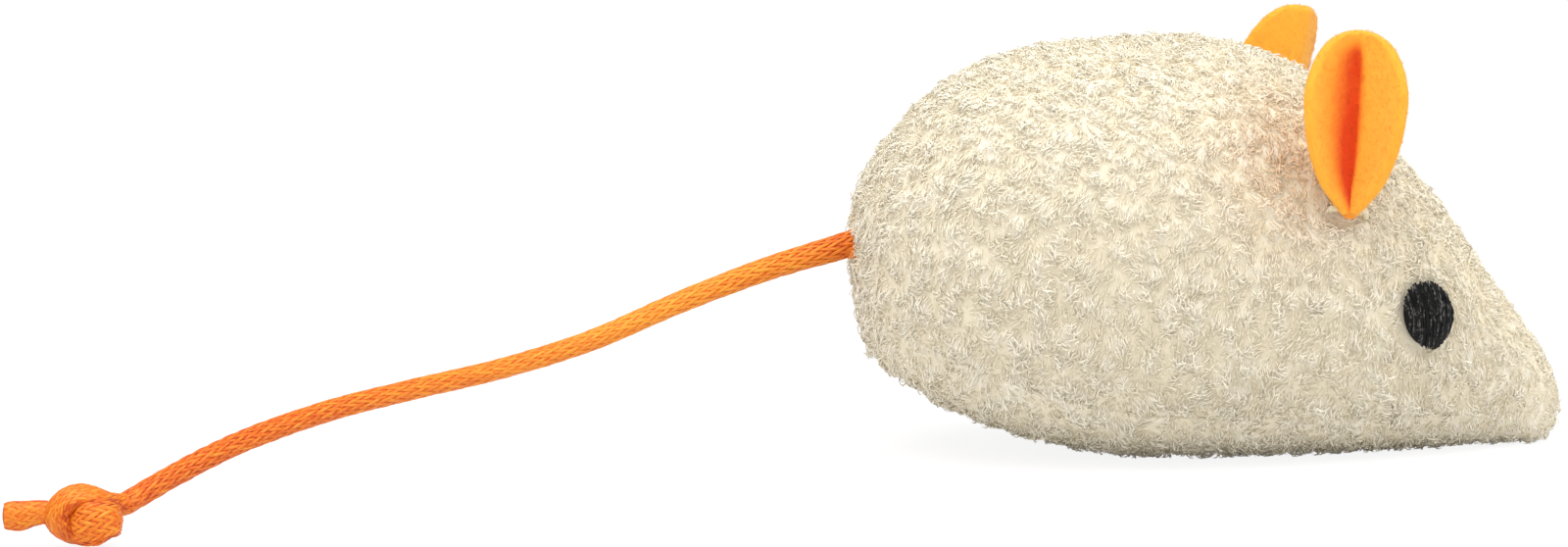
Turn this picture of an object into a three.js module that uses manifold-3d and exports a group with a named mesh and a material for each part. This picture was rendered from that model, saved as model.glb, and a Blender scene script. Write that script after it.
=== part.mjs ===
// Catnip mouse: a stuffed plush mouse with folded felt ears, satin-stitched eyes and a knotted satin cord tail.
// Millimetres, +Z up, nose along +X, right side towards -Y. The origin is on the floor, under the middle of the body.
import * as THREE from "three";
import { mergeVertices } from "three/addons/utils/BufferGeometryUtils.js";
import Module from "manifold-3d";

const wasm = await Module();
wasm.setup();

// Driving dimensions of the stuffed body
const bodyLength = 70;
const bodyHeight = 39.6;
const bodyWidth = 37;
const flatDepth = 0.5;
const plushThickness = 2;
const clearance = 0.3;
const fillingClearance = 0.4;
const cutOverrun = 6;
const bodyStations = 24;
const bodySides = 32;
const innerStations = 16;
const innerSides = 20;

// The body's outline at even steps of angle from rump to nose: top, underside and widest level as shares of the
// height, and breadth as a share of the width
const bodyOutlineShares = [
  { top: 0.52, bottom: 0.52, middle: 0.52, breadth: 0 },
  { top: 0.69, bottom: 0.255, middle: 0.49, breadth: 0.42 },
  { top: 0.855, bottom: 0.15, middle: 0.47, breadth: 0.7 },
  { top: 0.965, bottom: 0.065, middle: 0.45, breadth: 0.89 },
  { top: 1, bottom: 0.01, middle: 0.43, breadth: 0.985 },
  { top: 1, bottom: 0, middle: 0.41, breadth: 1 },
  { top: 0.895, bottom: 0, middle: 0.37, breadth: 0.9 },
  { top: 0.65, bottom: 0, middle: 0.3, breadth: 0.68 },
  { top: 0.393, bottom: 0, middle: 0.2, breadth: 0.45 },
  { top: 0.22, bottom: 0, middle: 0.12, breadth: 0.25 },
  { top: 0.11, bottom: 0.11, middle: 0.11, breadth: 0 },
];
const backRoundness = 2.1;
const bellyRoundness = 2.7;

// Driving dimensions of the seams
const threadDiameter = 0.7;
const threadInset = 2.8;
const threadSteps = 24;
const seamRiseAtRump = 15;
const seamRiseAtMiddle = 5;
const seamRiseAtNose = 3;
const seamMarginAtRump = 6;
const seamMarginAtNose = 8;
const backSeamShares = { start: 0.07, end: 0.87 };
const rumpSeamShares = { start: 0.045, end: 0.09 };
const closingLength = 16;
const closingSteps = 36;
const closingStitches = 6;
const closingReach = 0.5;

// Driving dimensions of the filling and the catnip sachet
const headCut = 17;
const sachetLength = 26;
const sachetWidth = 15;
const sachetThickness = 7;
const sachetHem = 1.6;
const sachetSheet = 0.5;
const sachetAlong = -2;
const sachetLevel = 19;
const sachetSegments = 16;

// Driving dimensions of the ears
const earHeight = 16.8;
const earWidth = 9.8;
const earFelt = 1.2;
const earFold = 3.4;
const earRootRadius = 1.4;
const earRootLength = 2.4;
const earLift = 0.6;
const earAlong = 9.4;
const degrees = THREE.MathUtils.degToRad;
const earPlaces = {
  right: { level: 24.6, lean: degrees(4), splay: degrees(1), turn: degrees(14) },
  left: { level: 24, lean: degrees(8), splay: degrees(-3), turn: degrees(24) },
};
const earTackDiameter = 0.6;
const earTackDepth = 2.8;
const earColumns = 10;
const rootSegments = 16;

// The ear from root to tip: height as a share of its height, half breadth and depth of fold as shares of theirs
const earOutlineShares = [
  { up: 0, half: 0.2, fold: 0.25 },
  { up: 0.11, half: 0.57, fold: 0.62 },
  { up: 0.27, half: 0.78, fold: 0.85 },
  { up: 0.38, half: 0.9, fold: 0.97 },
  { up: 0.51, half: 0.97, fold: 1 },
  { up: 0.65, half: 1, fold: 0.9 },
  { up: 0.76, half: 0.89, fold: 0.72 },
  { up: 0.87, half: 0.72, fold: 0.5 },
  { up: 0.95, half: 0.49, fold: 0.32 },
  { up: 1, half: 0.16, fold: 0.2 },
];

// Driving dimensions of the eyes
const eyeWidth = 5.9;
const eyeHeight = 6.1;
const eyeProud = 0.5;
const eyeSink = 0.5;
const eyeAlong = 18.2;
const eyeLevel = 14.3;
const eyeTilt = degrees(6);
const eyeSegments = 20;
const eyeBackingThickness = 0.5;
const eyeBackingShare = 0.85;

// The stitched eye from its hidden face to its crown: radius and level as shares of the half size and of the
// sink (below the surface) or the stand (above it)
const eyeProfileShares = [
  { radius: 0.8, level: -1 },
  { radius: 1, level: -0.4 },
  { radius: 1, level: 0.3 },
  { radius: 0.84, level: 0.75 },
  { radius: 0.5, level: 0.95 },
];

// Driving dimensions of the tail
const cordDiameter = 2;
const cordSides = 8;
const threadSides = 6;
const anchorLength = 9;
const tailLevel = 19.8;
const barTackDiameter = 0.5;
const barTackTurns = 2;
const barTackPitch = 1.1;
const tackSteps = 14;
const tailUpperSteps = 16;
const tailLowerSteps = 14;
const knotRadius = 1.35;
const knotWind = 0.95;
const knotReach = 4.2;
const knotLevel = 2.8;
const knotOpening = 0.35;
const knotPoints = 18;
const knotPieces = 6;
const knotPieceSteps = 5;
const knotOverlap = 0.6;
const knotCore = 1.7;
const exitLevel = 3;
const endTurn = degrees(-38);
const endLength = 3.8;
const endWidth = 2.7;
const endThickness = 1.8;
const endSides = 12;

// The cord's cut end from the knot outward: length as a share of its own, and width and thickness as shares
const endOutlineShares = [
  { along: 0, width: 0.76, thickness: 1.05 },
  { along: 0.35, width: 0.86, thickness: 1 },
  { along: 0.7, width: 1, thickness: 0.94 },
  { along: 0.9, width: 0.94, thickness: 0.8 },
  { along: 1, width: 0.66, thickness: 0.5 },
];

// The tail's route from its pivot at the rump to the knot
const tailPoints = [
  [-36.3, 0, 19.8],
  [-42.6, -1, 18.2],
  [-51.4, -3.5, 15.5],
  [-60.1, -7, 12.6],
  [-68.8, -11.2, 10.8],
  [-77.4, -16.1, 9.8],
  [-85.8, -21.5, 8.8],
  [-94.1, -27.4, 7.1],
  [-99.6, -31.6, 5.3],
  [-104.8, -35.7, 3.2],
];

// Smooth value between the middle two of four evenly spaced values
function smooth(position, before, from, to, after) {
  const slopeFrom = (to - before) / 2;
  const slopeTo = (after - from) / 2;
  const square = position * position;
  const cube = square * position;
  const start = (2 * cube - 3 * square + 1) * from + (cube - 2 * square + position) * slopeFrom;
  return start + (3 * square - 2 * cube) * to + (cube - square) * slopeTo;
}

// A row of the body's outline table, mirrored past both tips so that they come out round
function outlineRow(index, column) {
  const last = bodyOutlineShares.length - 1;
  if (index >= 0 && index <= last) {
    return bodyOutlineShares[index][column];
  }
  const row = bodyOutlineShares[index < 0 ? -index : 2 * last - index];
  const mirrored = { top: row.bottom, bottom: row.top, middle: row.middle, breadth: -row.breadth };
  return mirrored[column];
}

function outlineValue(share, column) {
  const last = bodyOutlineShares.length - 1;
  const position = THREE.MathUtils.clamp(share, 0, 1) * last;
  const row = Math.min(Math.floor(position), last - 1);
  const rows = [row - 1, row, row + 1, row + 2].map((index) => outlineRow(index, column));
  return smooth(position - row, ...rows);
}

// The body's surfaces, each drawn in from the outer one: the outer one sags under the floor, to be cut flat there
const outerSurface = { inset: 0, sag: flatDepth };
const liningSurface = { inset: plushThickness, sag: 0 };
const fillingSurface = { inset: plushThickness + fillingClearance, sag: 0 };
const threadSurface = { inset: threadInset, sag: 0 };

function drawnIn(size, inset) {
  return size > 0 ? (size * size) / (size + inset) : 0;
}

function bodySection(share, surface) {
  const middle = outlineValue(share, "middle") * bodyHeight;
  const sag = surface.sag * Math.sin(Math.PI * share);
  const above = outlineValue(share, "top") * bodyHeight - middle;
  const below = middle - outlineValue(share, "bottom") * bodyHeight + sag;
  const half = (outlineValue(share, "breadth") * bodyWidth) / 2;
  return {
    middle,
    above: drawnIn(above, surface.inset),
    below: drawnIn(below, surface.inset),
    half: drawnIn(half, surface.inset),
  };
}

function rounded(value, roundness) {
  return Math.sign(value) * Math.abs(value) ** (2 / roundness);
}

function alongAt(share, surface) {
  return -(bodyLength / 2 - surface.inset) * Math.cos(Math.PI * share);
}

function shareAt(along, surface) {
  const reach = bodyLength / 2 - surface.inset;
  return Math.acos(THREE.MathUtils.clamp(-along / reach, -1, 1)) / Math.PI;
}

function bodyPoint(share, angle, surface) {
  const section = bodySection(share, surface);
  const up = Math.sin(angle);
  const roundness = up > 0 ? backRoundness : bellyRoundness;
  const side = section.half * rounded(Math.cos(angle), roundness);
  const level = section.middle + (up > 0 ? section.above : section.below) * rounded(up, roundness);
  return new THREE.Vector3(alongAt(share, surface), side, level);
}

// How far the body reaches sideways at a place along it and a level
function sideAt(along, level, surface) {
  const section = bodySection(shareAt(along, surface), surface);
  const rise = level - section.middle;
  const roundness = rise > 0 ? backRoundness : bellyRoundness;
  const ratio = Math.min(Math.abs(rise) / (rise > 0 ? section.above : section.below), 1);
  return section.half * (1 - ratio ** roundness) ** (1 / roundness);
}

// Closed surface through rings of points that turn right-handed about the way from the first pole to the last
function loft(rings, firstPole, lastPole) {
  const count = rings[0].length;
  const points = [...rings.flat(), firstPole, lastPole];
  const triangles = [];
  for (let ring = 0; ring + 1 < rings.length; ring += 1) {
    for (let side = 0; side < count; side += 1) {
      const next = (side + 1) % count;
      const corners = [ring * count + side, ring * count + next, (ring + 1) * count + next, (ring + 1) * count + side];
      triangles.push(corners[0], corners[1], corners[2], corners[0], corners[2], corners[3]);
    }
  }
  const lastRing = (rings.length - 1) * count;
  for (let side = 0; side < count; side += 1) {
    const next = (side + 1) % count;
    triangles.push(points.length - 2, next, side);
    triangles.push(points.length - 1, lastRing + side, lastRing + next);
  }
  const geometry = new THREE.BufferGeometry().setFromPoints(points);
  geometry.setIndex(triangles);
  return geometry;
}

function bodyLoft(stations, sides, surface) {
  const rings = [];
  for (let station = 1; station < stations; station += 1) {
    const ring = [];
    for (let side = 0; side < sides; side += 1) {
      ring.push(bodyPoint(station / stations, (2 * Math.PI * side) / sides, surface));
    }
    rings.push(ring);
  }
  return loft(rings, bodyPoint(0, 0, surface), bodyPoint(1, 0, surface));
}

// Solids for cutting and joining
function toSolid(geometry) {
  const bare = geometry.clone();
  bare.deleteAttribute("normal");
  bare.deleteAttribute("uv");
  const merged = mergeVertices(bare);
  const vertProperties = new Float32Array(merged.attributes.position.array);
  const triVerts = new Uint32Array(merged.index.array);
  return new wasm.Manifold(new wasm.Mesh({ numProp: 3, vertProperties, triVerts }));
}

function toGeometry(solid) {
  const mesh = solid.getMesh();
  const geometry = new THREE.BufferGeometry();
  geometry.setAttribute("position", new THREE.BufferAttribute(new Float32Array(mesh.vertProperties), 3));
  geometry.setIndex(new THREE.BufferAttribute(new Uint32Array(mesh.triVerts), 1));
  return geometry;
}

function cut(solid, ...cutters) {
  return cutters.reduce((rest, cutter) => rest.subtract(cutter), solid);
}

// A box between two corners
function block(low, high) {
  const size = high.map((value, axis) => value - low[axis]);
  const geometry = new THREE.BoxGeometry(...size);
  geometry.translate(...low.map((value, axis) => value + size[axis] / 2));
  return toSolid(geometry);
}

const reach = {
  rump: -bodyLength / 2 - cutOverrun,
  nose: bodyLength / 2 + cutOverrun,
  side: bodyWidth / 2 + cutOverrun,
  floor: -cutOverrun,
  top: bodyHeight + cutOverrun,
};

// Round thread or cord along a curve
function tube(path, diameter, steps, sides) {
  const section = new THREE.Shape();
  section.absarc(0, 0, diameter / 2, 0, 2 * Math.PI, false);
  return new THREE.ExtrudeGeometry(section, {
    steps,
    curveSegments: sides / 2,
    extrudePath: path,
    bevelEnabled: false,
  });
}

function curveThrough(points) {
  return new THREE.CatmullRomCurve3(points, false, "centripetal");
}

// The stretch of a curve between two lengths along it
function stretch(curve, from, to, pieces) {
  const whole = curve.getLength();
  const points = [];
  for (let piece = 0; piece <= pieces; piece += 1) {
    points.push(curve.getPointAt((from + ((to - from) * piece) / pieces) / whole));
  }
  return curveThrough(points);
}

// Seams
function seamLevel(along) {
  const share = along / (bodyLength / 2);
  const end = share < 0 ? seamRiseAtRump : seamRiseAtNose;
  return seamRiseAtMiddle + (end - seamRiseAtMiddle) * share * share;
}

// Everything under the seam line, or over it, as a solid across the whole width
function seamBlock(edge, shift) {
  const outline = new THREE.Shape();
  outline.moveTo(reach.rump, edge);
  for (let step = 0; step <= threadSteps; step += 1) {
    const along = reach.rump + ((reach.nose - reach.rump) * step) / threadSteps;
    outline.lineTo(along, seamLevel(along) + shift);
  }
  outline.lineTo(reach.nose, edge);
  outline.closePath();
  const geometry = new THREE.ExtrudeGeometry(outline, { depth: 2 * reach.side, bevelEnabled: false });
  geometry.rotateX(Math.PI / 2);
  geometry.translate(0, reach.side, 0);
  return toSolid(geometry);
}

function bellySeam(side, from, to, steps, swing) {
  const points = [];
  for (let step = 0; step <= steps; step += 1) {
    const along = from + ((to - from) * step) / steps;
    const level = seamLevel(along) + swing(step / steps);
    points.push(new THREE.Vector3(along, side * sideAt(along, level, threadSurface), level));
  }
  return curveThrough(points);
}

function ridgeSeam(shares, angle) {
  const points = [];
  for (let step = 0; step <= threadSteps; step += 1) {
    const share = shares.start + ((shares.end - shares.start) * step) / threadSteps;
    points.push(bodyPoint(share, angle, threadSurface).setY(0));
  }
  return curveThrough(points);
}

const seamStart = -bodyLength / 2 + seamMarginAtRump;
const seamEnd = bodyLength / 2 - seamMarginAtNose;
const closingEnd = seamStart + closingLength;
const straight = () => 0;
const ladder = (share) => closingReach * Math.sin(2 * Math.PI * closingStitches * share);
const threads = {
  back_seam_thread: { path: ridgeSeam(backSeamShares, Math.PI / 2), steps: threadSteps },
  rump_seam_thread: { path: ridgeSeam(rumpSeamShares, -Math.PI / 2), steps: 4 },
  right_belly_seam_thread: { path: bellySeam(-1, seamStart, seamEnd, threadSteps, straight), steps: threadSteps },
  left_belly_seam_thread: {
    path: bellySeam(1, closingEnd + threadDiameter, seamEnd, threadSteps, straight),
    steps: threadSteps,
  },
  closing_stitch: { path: bellySeam(1, seamStart, closingEnd, closingSteps, ladder), steps: closingSteps },
};
const threadGrooves = Object.values(threads).map(({ path, steps }) =>
  toSolid(tube(path, threadDiameter + 2 * clearance, steps, threadSides)),
);

// A place on the body's side, with the outward direction there
function sidePlace(side, along, level) {
  const at = (x, z) => new THREE.Vector3(x, side * sideAt(x, z, outerSurface), z);
  const point = at(along, level);
  const forward = at(along + clearance, level).sub(point);
  const upward = at(along, level + clearance).sub(point);
  const outward = forward.cross(upward).normalize();
  outward.multiplyScalar(Math.sign(outward.y) * side);
  return { point, outward };
}

// Ears: the felt opens outward, and its gathered root turns about the tacking thread that runs through it
function earFrame(side, { level, lean, splay, turn }) {
  const place = sidePlace(side, earAlong, level);
  const origin = place.point.clone().addScaledVector(place.outward, earLift);
  const facing = new THREE.Vector3(-Math.sin(turn), side * Math.cos(turn), 0);
  const up = new THREE.Vector3(0, 0, Math.cos(splay)).addScaledVector(facing, Math.sin(splay));
  const inward = new THREE.Vector3(0, 0, Math.sin(splay)).addScaledVector(facing, -Math.cos(splay));
  const across = inward.clone().cross(up);
  const matrix = new THREE.Matrix4().makeBasis(across, inward, up).setPosition(origin);
  return { matrix, origin, across, outward: place.outward, lean: -side * lean };
}

function earRow(row) {
  const half = (row.half * earWidth) / 2;
  const fold = row.fold * earFold;
  const through = (earFelt * Math.hypot(half, fold)) / half;
  const level = row.up * earHeight;
  const at = (share, side) => {
    const depth = (side * through) / 2 - fold * Math.abs(share);
    return new THREE.Vector3(half * share, depth, level);
  };
  const ring = [];
  for (let column = 0; column <= earColumns; column += 1) {
    ring.push(at((2 * column) / earColumns - 1, -1));
  }
  for (let column = 0; column <= earColumns; column += 1) {
    ring.push(at(1 - (2 * column) / earColumns, 1));
  }
  return { ring, heart: at(0, 0) };
}

function rootCylinder(radius, length) {
  const geometry = new THREE.CylinderGeometry(radius, radius, length, rootSegments);
  geometry.rotateZ(Math.PI / 2);
  return toSolid(geometry);
}

function earGeometry(frame) {
  const rows = earOutlineShares.map(earRow);
  const blade = loft(
    rows.map((row) => row.ring),
    rows[0].heart,
    rows[rows.length - 1].heart,
  );
  blade.rotateY(frame.lean);
  const bore = rootCylinder(earTackDiameter / 2 + clearance, earRootLength + cutOverrun);
  const root = rootCylinder(earRootRadius, earRootLength);
  return toGeometry(cut(toSolid(blade).add(root), bore));
}

// The thread runs through the root and dives into the plush at both ends
function earTackPath(frame) {
  const half = earRootLength / 2 + clearance + earTackDiameter / 2;
  const straightOut = frame.outward.clone().projectOnPlane(frame.across).normalize();
  const place = (share, depth) =>
    frame.origin
      .clone()
      .addScaledVector(frame.across, share * half)
      .addScaledVector(straightOut, -depth);
  const bend = earTackDiameter;
  return curveThrough([
    place(-1, earTackDepth),
    place(-1, bend),
    place(-1 + bend / half / 4, bend / 4),
    place(-1 + bend / half, 0),
    place(0, 0),
    place(1 - bend / half, 0),
    place(1 - bend / half / 4, bend / 4),
    place(1, bend),
    place(1, earTackDepth),
  ]);
}

function earRecess(frame) {
  const length = earRootLength + 2 * (earTackDiameter + 2 * clearance);
  return rootCylinder(earRootRadius + clearance, length).transform(frame.matrix.toArray());
}

// Eyes: an oval pad of satin stitch sunk into the pile, with its bobbin thread on the inside of the plush
function eyeFrame(side) {
  const place = sidePlace(side, eyeAlong, eyeLevel);
  const level = new THREE.Vector3(0, 0, 1);
  const across = level.clone().cross(place.outward).normalize();
  const up = place.outward.clone().cross(across);
  const matrix = new THREE.Matrix4().makeBasis(across, up, place.outward).setPosition(place.point);
  return matrix.multiply(new THREE.Matrix4().makeRotationZ(side * eyeTilt));
}

function eyeGeometry(width, height, sink, proud) {
  const profile = eyeProfileShares.map(
    ({ radius, level }) => new THREE.Vector2(radius, level * (level < 0 ? sink : proud)),
  );
  profile.unshift(new THREE.Vector2(0, -sink));
  profile.push(new THREE.Vector2(0, proud));
  const geometry = new THREE.LatheGeometry(profile, eyeSegments);
  geometry.rotateX(Math.PI / 2);
  geometry.scale(width / 2, height / 2, 1);
  return geometry;
}

function eyeBackingGeometry(room) {
  const geometry = new THREE.CylinderGeometry(1, 1, eyeBackingThickness + 2 * room, eyeSegments);
  geometry.rotateX(Math.PI / 2);
  geometry.scale((eyeBackingShare * eyeWidth) / 2 + room, (eyeBackingShare * eyeHeight) / 2 + room, 1);
  geometry.translate(0, 0, -plushThickness - fillingClearance - eyeBackingThickness / 2);
  return geometry;
}

// Tail
const cordRadius = cordDiameter / 2;
const anchorOuter = -bodyLength / 2;
const pivotGap = cordRadius + clearance;
const tailCurve = curveThrough(tailPoints.map((point) => new THREE.Vector3(...point)));
const tailLength = tailCurve.getLength();
const curlAt = tailLength / 2;

function alongX(from, to, diameter, sides) {
  const path = new THREE.LineCurve3(new THREE.Vector3(from, 0, tailLevel), new THREE.Vector3(to, 0, tailLevel));
  return tube(path, diameter, 1, sides);
}

// A stretch of the tail that begins with a ball about its pivot and ends square
function tailStretch(from, to, steps) {
  const ball = new THREE.SphereGeometry(cordRadius, cordSides, cordSides / 2);
  ball.translate(...tailCurve.getPointAt(from / tailLength).toArray());
  const cord = tube(stretch(tailCurve, from, to, steps), cordDiameter, steps, cordSides);
  return toGeometry(toSolid(cord).add(toSolid(ball)));
}

const barTackRadius = cordRadius + clearance + barTackDiameter / 2;
const barTackStart = anchorOuter + fillingSurface.inset + barTackDiameter;

function barTackPath() {
  const points = [];
  for (let step = 0; step <= tackSteps; step += 1) {
    const turn = (2 * Math.PI * barTackTurns * step) / tackSteps;
    const along = barTackStart + (barTackTurns * barTackPitch * step) / tackSteps;
    const level = tailLevel + barTackRadius * Math.cos(turn);
    points.push(new THREE.Vector3(along, barTackRadius * Math.sin(turn), level));
  }
  return curveThrough(points);
}

// Knot: the cord goes twice round an upright ring and winds three times about it on the way, open at the top where
// it comes in and leaves, and is pulled so tight that its turns press into one lump
const tailEndPoint = tailCurve.getPointAt(1);
const tailEndDirection = tailCurve.getTangentAt(1);
const upward = new THREE.Vector3(0, 0, 1);
const entryDirection = tailEndDirection.clone().setZ(0).normalize();
const endDirection = entryDirection.clone().applyAxisAngle(upward, endTurn);
const ringDirection = entryDirection.clone().add(endDirection).normalize();
const knotCentre = tailEndPoint.clone().addScaledVector(entryDirection, knotReach).setZ(knotLevel);

// A place counted from the knot's middle: along a level direction, up, and aside to the right of that direction
function knotPlace(direction, onward, up, aside) {
  const point = knotCentre.clone().addScaledVector(direction, onward);
  return point.addScaledVector(upward, up).addScaledVector(direction.clone().cross(upward), aside);
}

function knotPath() {
  const points = [clearance, cordRadius].map((ahead) =>
    tailEndPoint.clone().addScaledVector(tailEndDirection, ahead),
  );
  for (let step = 0; step <= knotPoints; step += 1) {
    const angle = knotOpening + ((2 * Math.PI - 2 * knotOpening) * step) / knotPoints;
    const radius = knotRadius + knotWind * Math.cos(3 * angle);
    const onward = radius * Math.sin(2 * angle);
    const up = radius * Math.cos(2 * angle);
    points.push(knotPlace(ringDirection, onward, up, knotWind * Math.sin(3 * angle)));
  }
  points.push(knotPlace(endDirection, knotReach, exitLevel - knotLevel, 0));
  return curveThrough(points);
}

function knotGeometry() {
  const path = knotPath();
  const length = path.getLength();
  const core = new THREE.SphereGeometry(knotCore, cordSides, cordSides / 2);
  let knot = toSolid(core.translate(...knotCentre.toArray()));
  for (let piece = 0; piece < knotPieces; piece += 1) {
    const from = Math.max((length * piece) / knotPieces - knotOverlap, 0);
    const to = (length * (piece + 1)) / knotPieces;
    const turn = tube(stretch(path, from, to, knotPieceSteps), cordDiameter, knotPieceSteps, cordSides);
    knot = knot.add(toSolid(turn));
  }
  return toGeometry(knot);
}

function endGeometry() {
  const place = (along, up, aside) =>
    knotPlace(endDirection, knotReach + clearance + along, exitLevel - knotLevel + up, aside);
  const rings = endOutlineShares.map(({ along, width, thickness }) => {
    const ring = [];
    for (let side = 0; side < endSides; side += 1) {
      const angle = (2 * Math.PI * side) / endSides;
      const up = (width * endWidth * Math.cos(angle)) / 2;
      const aside = (thickness * endThickness * Math.sin(angle)) / 2;
      ring.push(place(along * endLength, up, aside));
    }
    return ring;
  });
  return loft(rings, place(0, 0, 0), place(endLength, 0, 0));
}

// Materials
const finish = (color, roughness) => new THREE.MeshStandardMaterial({ color, roughness, metalness: 0 });
const plush = finish("#e6ddc4", 1);
const lining = finish("#f1efe8", 1);
const felt = finish("#feb038", 0.95);
const thread = finish("#e9dfc6", 0.7);
const stitchedBlack = finish("#2c2c2a", 0.6);
const satin = finish("#f6a54a", 0.45);
const sheet = finish("#f4f2ea", 0.9);
const herb = finish("#7c8a4a", 1);

const mouse = new THREE.Group();

function piece(name, geometry, material, matrix) {
  const mesh = new THREE.Mesh(geometry, material);
  mesh.name = name;
  if (matrix) {
    matrix.decompose(mesh.position, mesh.quaternion, mesh.scale);
  }
  mouse.add(mesh);
  return mesh;
}

// Plush skin: two sides and a belly, parted at the seams and cut flat where the belly rests
const sides = { right: -1, left: 1 };
const tailHole = toSolid(alongX(reach.rump, 0, cordDiameter + 2 * clearance, cordSides));
const skin = cut(
  toSolid(bodyLoft(bodyStations, bodySides, outerSurface)),
  toSolid(bodyLoft(innerStations, innerSides, liningSurface)),
  block([reach.rump, -reach.side, reach.floor], [reach.nose, reach.side, 0]),
);
const overSeam = skin.intersect(seamBlock(reach.top, clearance / 2)).subtract(tailHole);
piece("belly_panel", toGeometry(skin.intersect(seamBlock(reach.floor, -clearance / 2))), plush);

const tackHoles = [];
for (const [name, side] of Object.entries(sides)) {
  const frame = earFrame(side, earPlaces[name]);
  const matrix = eyeFrame(side);
  const near = side * (clearance / 2);
  const far = side * reach.side;
  const half = block([reach.rump, Math.min(near, far), reach.floor], [reach.nose, Math.max(near, far), reach.top]);
  const tackHole = toSolid(tube(earTackPath(frame), earTackDiameter + 2 * clearance, tackSteps, threadSides));
  const eyeRoom = eyeGeometry(
    eyeWidth + 2 * clearance,
    eyeHeight + 2 * clearance,
    eyeSink + clearance,
    eyeProud + cutOverrun,
  );
  tackHoles.push(tackHole, toSolid(eyeBackingGeometry(clearance).applyMatrix4(matrix)));
  const panel = cut(
    overSeam.intersect(half),
    tackHole,
    earRecess(frame),
    toSolid(eyeRoom.applyMatrix4(matrix)),
  );
  piece(`${name}_side_panel`, toGeometry(panel), plush);
  piece(`${name}_ear`, earGeometry(frame), felt, frame.matrix);
  piece(`${name}_ear_tack`, tube(earTackPath(frame), earTackDiameter, tackSteps, threadSides), thread);
  piece(`${name}_eye`, eyeGeometry(eyeWidth, eyeHeight, eyeSink, eyeProud), stitchedBlack, matrix);
  piece(`${name}_eye_backing`, eyeBackingGeometry(0), lining, matrix);
}

for (const [name, { path, steps }] of Object.entries(threads)) {
  piece(name, tube(path, threadDiameter, steps, threadSides), thread);
}

// Sachet of dried catnip: two dished sheets with their hems face to face
function pouch(grow) {
  const geometry = new THREE.SphereGeometry(1, sachetSegments, sachetSegments / 2);
  geometry.rotateX(Math.PI / 2);
  geometry.scale(sachetLength / 2 + grow, sachetWidth / 2 + grow, sachetThickness / 2 + grow);
  geometry.translate(sachetAlong, 0, sachetLevel);
  return toSolid(geometry);
}

function hemDisc() {
  const geometry = new THREE.CylinderGeometry(1, 1, 2 * sachetSheet + clearance, sachetSegments);
  geometry.rotateX(Math.PI / 2);
  geometry.scale(sachetLength / 2 + sachetHem, sachetWidth / 2 + sachetHem, 1);
  geometry.translate(sachetAlong, 0, sachetLevel);
  return toSolid(geometry);
}

const pouchShell = cut(pouch(0).add(hemDisc()), pouch(-sachetSheet));
const overHem = block([reach.rump, -reach.side, sachetLevel + clearance / 2], [reach.nose, reach.side, reach.top]);
const underHem = block([reach.rump, -reach.side, reach.floor], [reach.nose, reach.side, sachetLevel - clearance / 2]);
piece("sachet_upper_sheet", toGeometry(pouchShell.intersect(overHem)), sheet);
piece("sachet_lower_sheet", toGeometry(pouchShell.intersect(underHem)), sheet);
piece("dried_catnip", toGeometry(pouch(-sachetSheet - clearance)), herb);

// Filling: body and head, with a pocket for the sachet that opens towards the head
function pocket() {
  const room = sachetHem + 2 * clearance;
  const geometry = new THREE.CylinderGeometry(1, 1, headCut - sachetAlong, sachetSegments);
  geometry.rotateZ(Math.PI / 2);
  geometry.scale(1, sachetWidth / 2 + room, sachetThickness / 2 + room);
  geometry.translate((headCut + sachetAlong) / 2, 0, sachetLevel);
  return toSolid(geometry).add(pouch(room));
}

const anchorInner = anchorOuter + anchorLength;
const tackRoomEnd = barTackStart + (barTackTurns + 1) * barTackPitch;
const tackRoomDiameter = 2 * barTackRadius + barTackDiameter + 2 * clearance;
const tackRoom = toSolid(alongX(reach.rump, tackRoomEnd, tackRoomDiameter, 2 * cordSides));
const anchorRoom = toSolid(alongX(reach.rump, anchorInner + clearance, cordDiameter + 2 * clearance, cordSides));
const filling = cut(
  toSolid(bodyLoft(innerStations, innerSides, fillingSurface)),
  ...threadGrooves,
  ...tackHoles,
);
const behindCut = block([reach.rump, -reach.side, reach.floor], [headCut - clearance / 2, reach.side, reach.top]);
const aheadOfCut = block([headCut + clearance / 2, -reach.side, reach.floor], [reach.nose, reach.side, reach.top]);
piece("body_filling", toGeometry(cut(filling.intersect(behindCut), pocket(), tackRoom, anchorRoom)), lining);
piece("head_filling", toGeometry(filling.intersect(aheadOfCut)), lining);

// Tail: sewn end, stitches, two stretches of cord that turn about the root and the middle, knot and cut end
piece("tail_anchor", alongX(anchorOuter, anchorInner, cordDiameter, cordSides), satin);
piece("tail_bar_tack", tube(barTackPath(), barTackDiameter, 2 * tackSteps, threadSides), thread);
piece("tail_upper", tailStretch(0, curlAt - pivotGap, tailUpperSteps), satin);
piece("tail_lower", tailStretch(curlAt, tailLength, tailLowerSteps), satin);
piece("tail_knot", knotGeometry(), satin);
piece("tail_end", endGeometry(), satin);

export default mouse;
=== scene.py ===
"""A stuffed plush toy mouse with folded felt ears, satin-stitched eyes and a knotted satin cord tail.

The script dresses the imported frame: sizes are in millimetres until a mesh is made, and every piece lies where
the frame has it, with its place in its mesh.
"""

from __future__ import annotations

import logging
import math
from dataclasses import dataclass, field
from enum import Enum
from typing import Any, Sequence

import bmesh
import bpy
import numpy as np
from mathutils import Matrix, Vector

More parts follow.
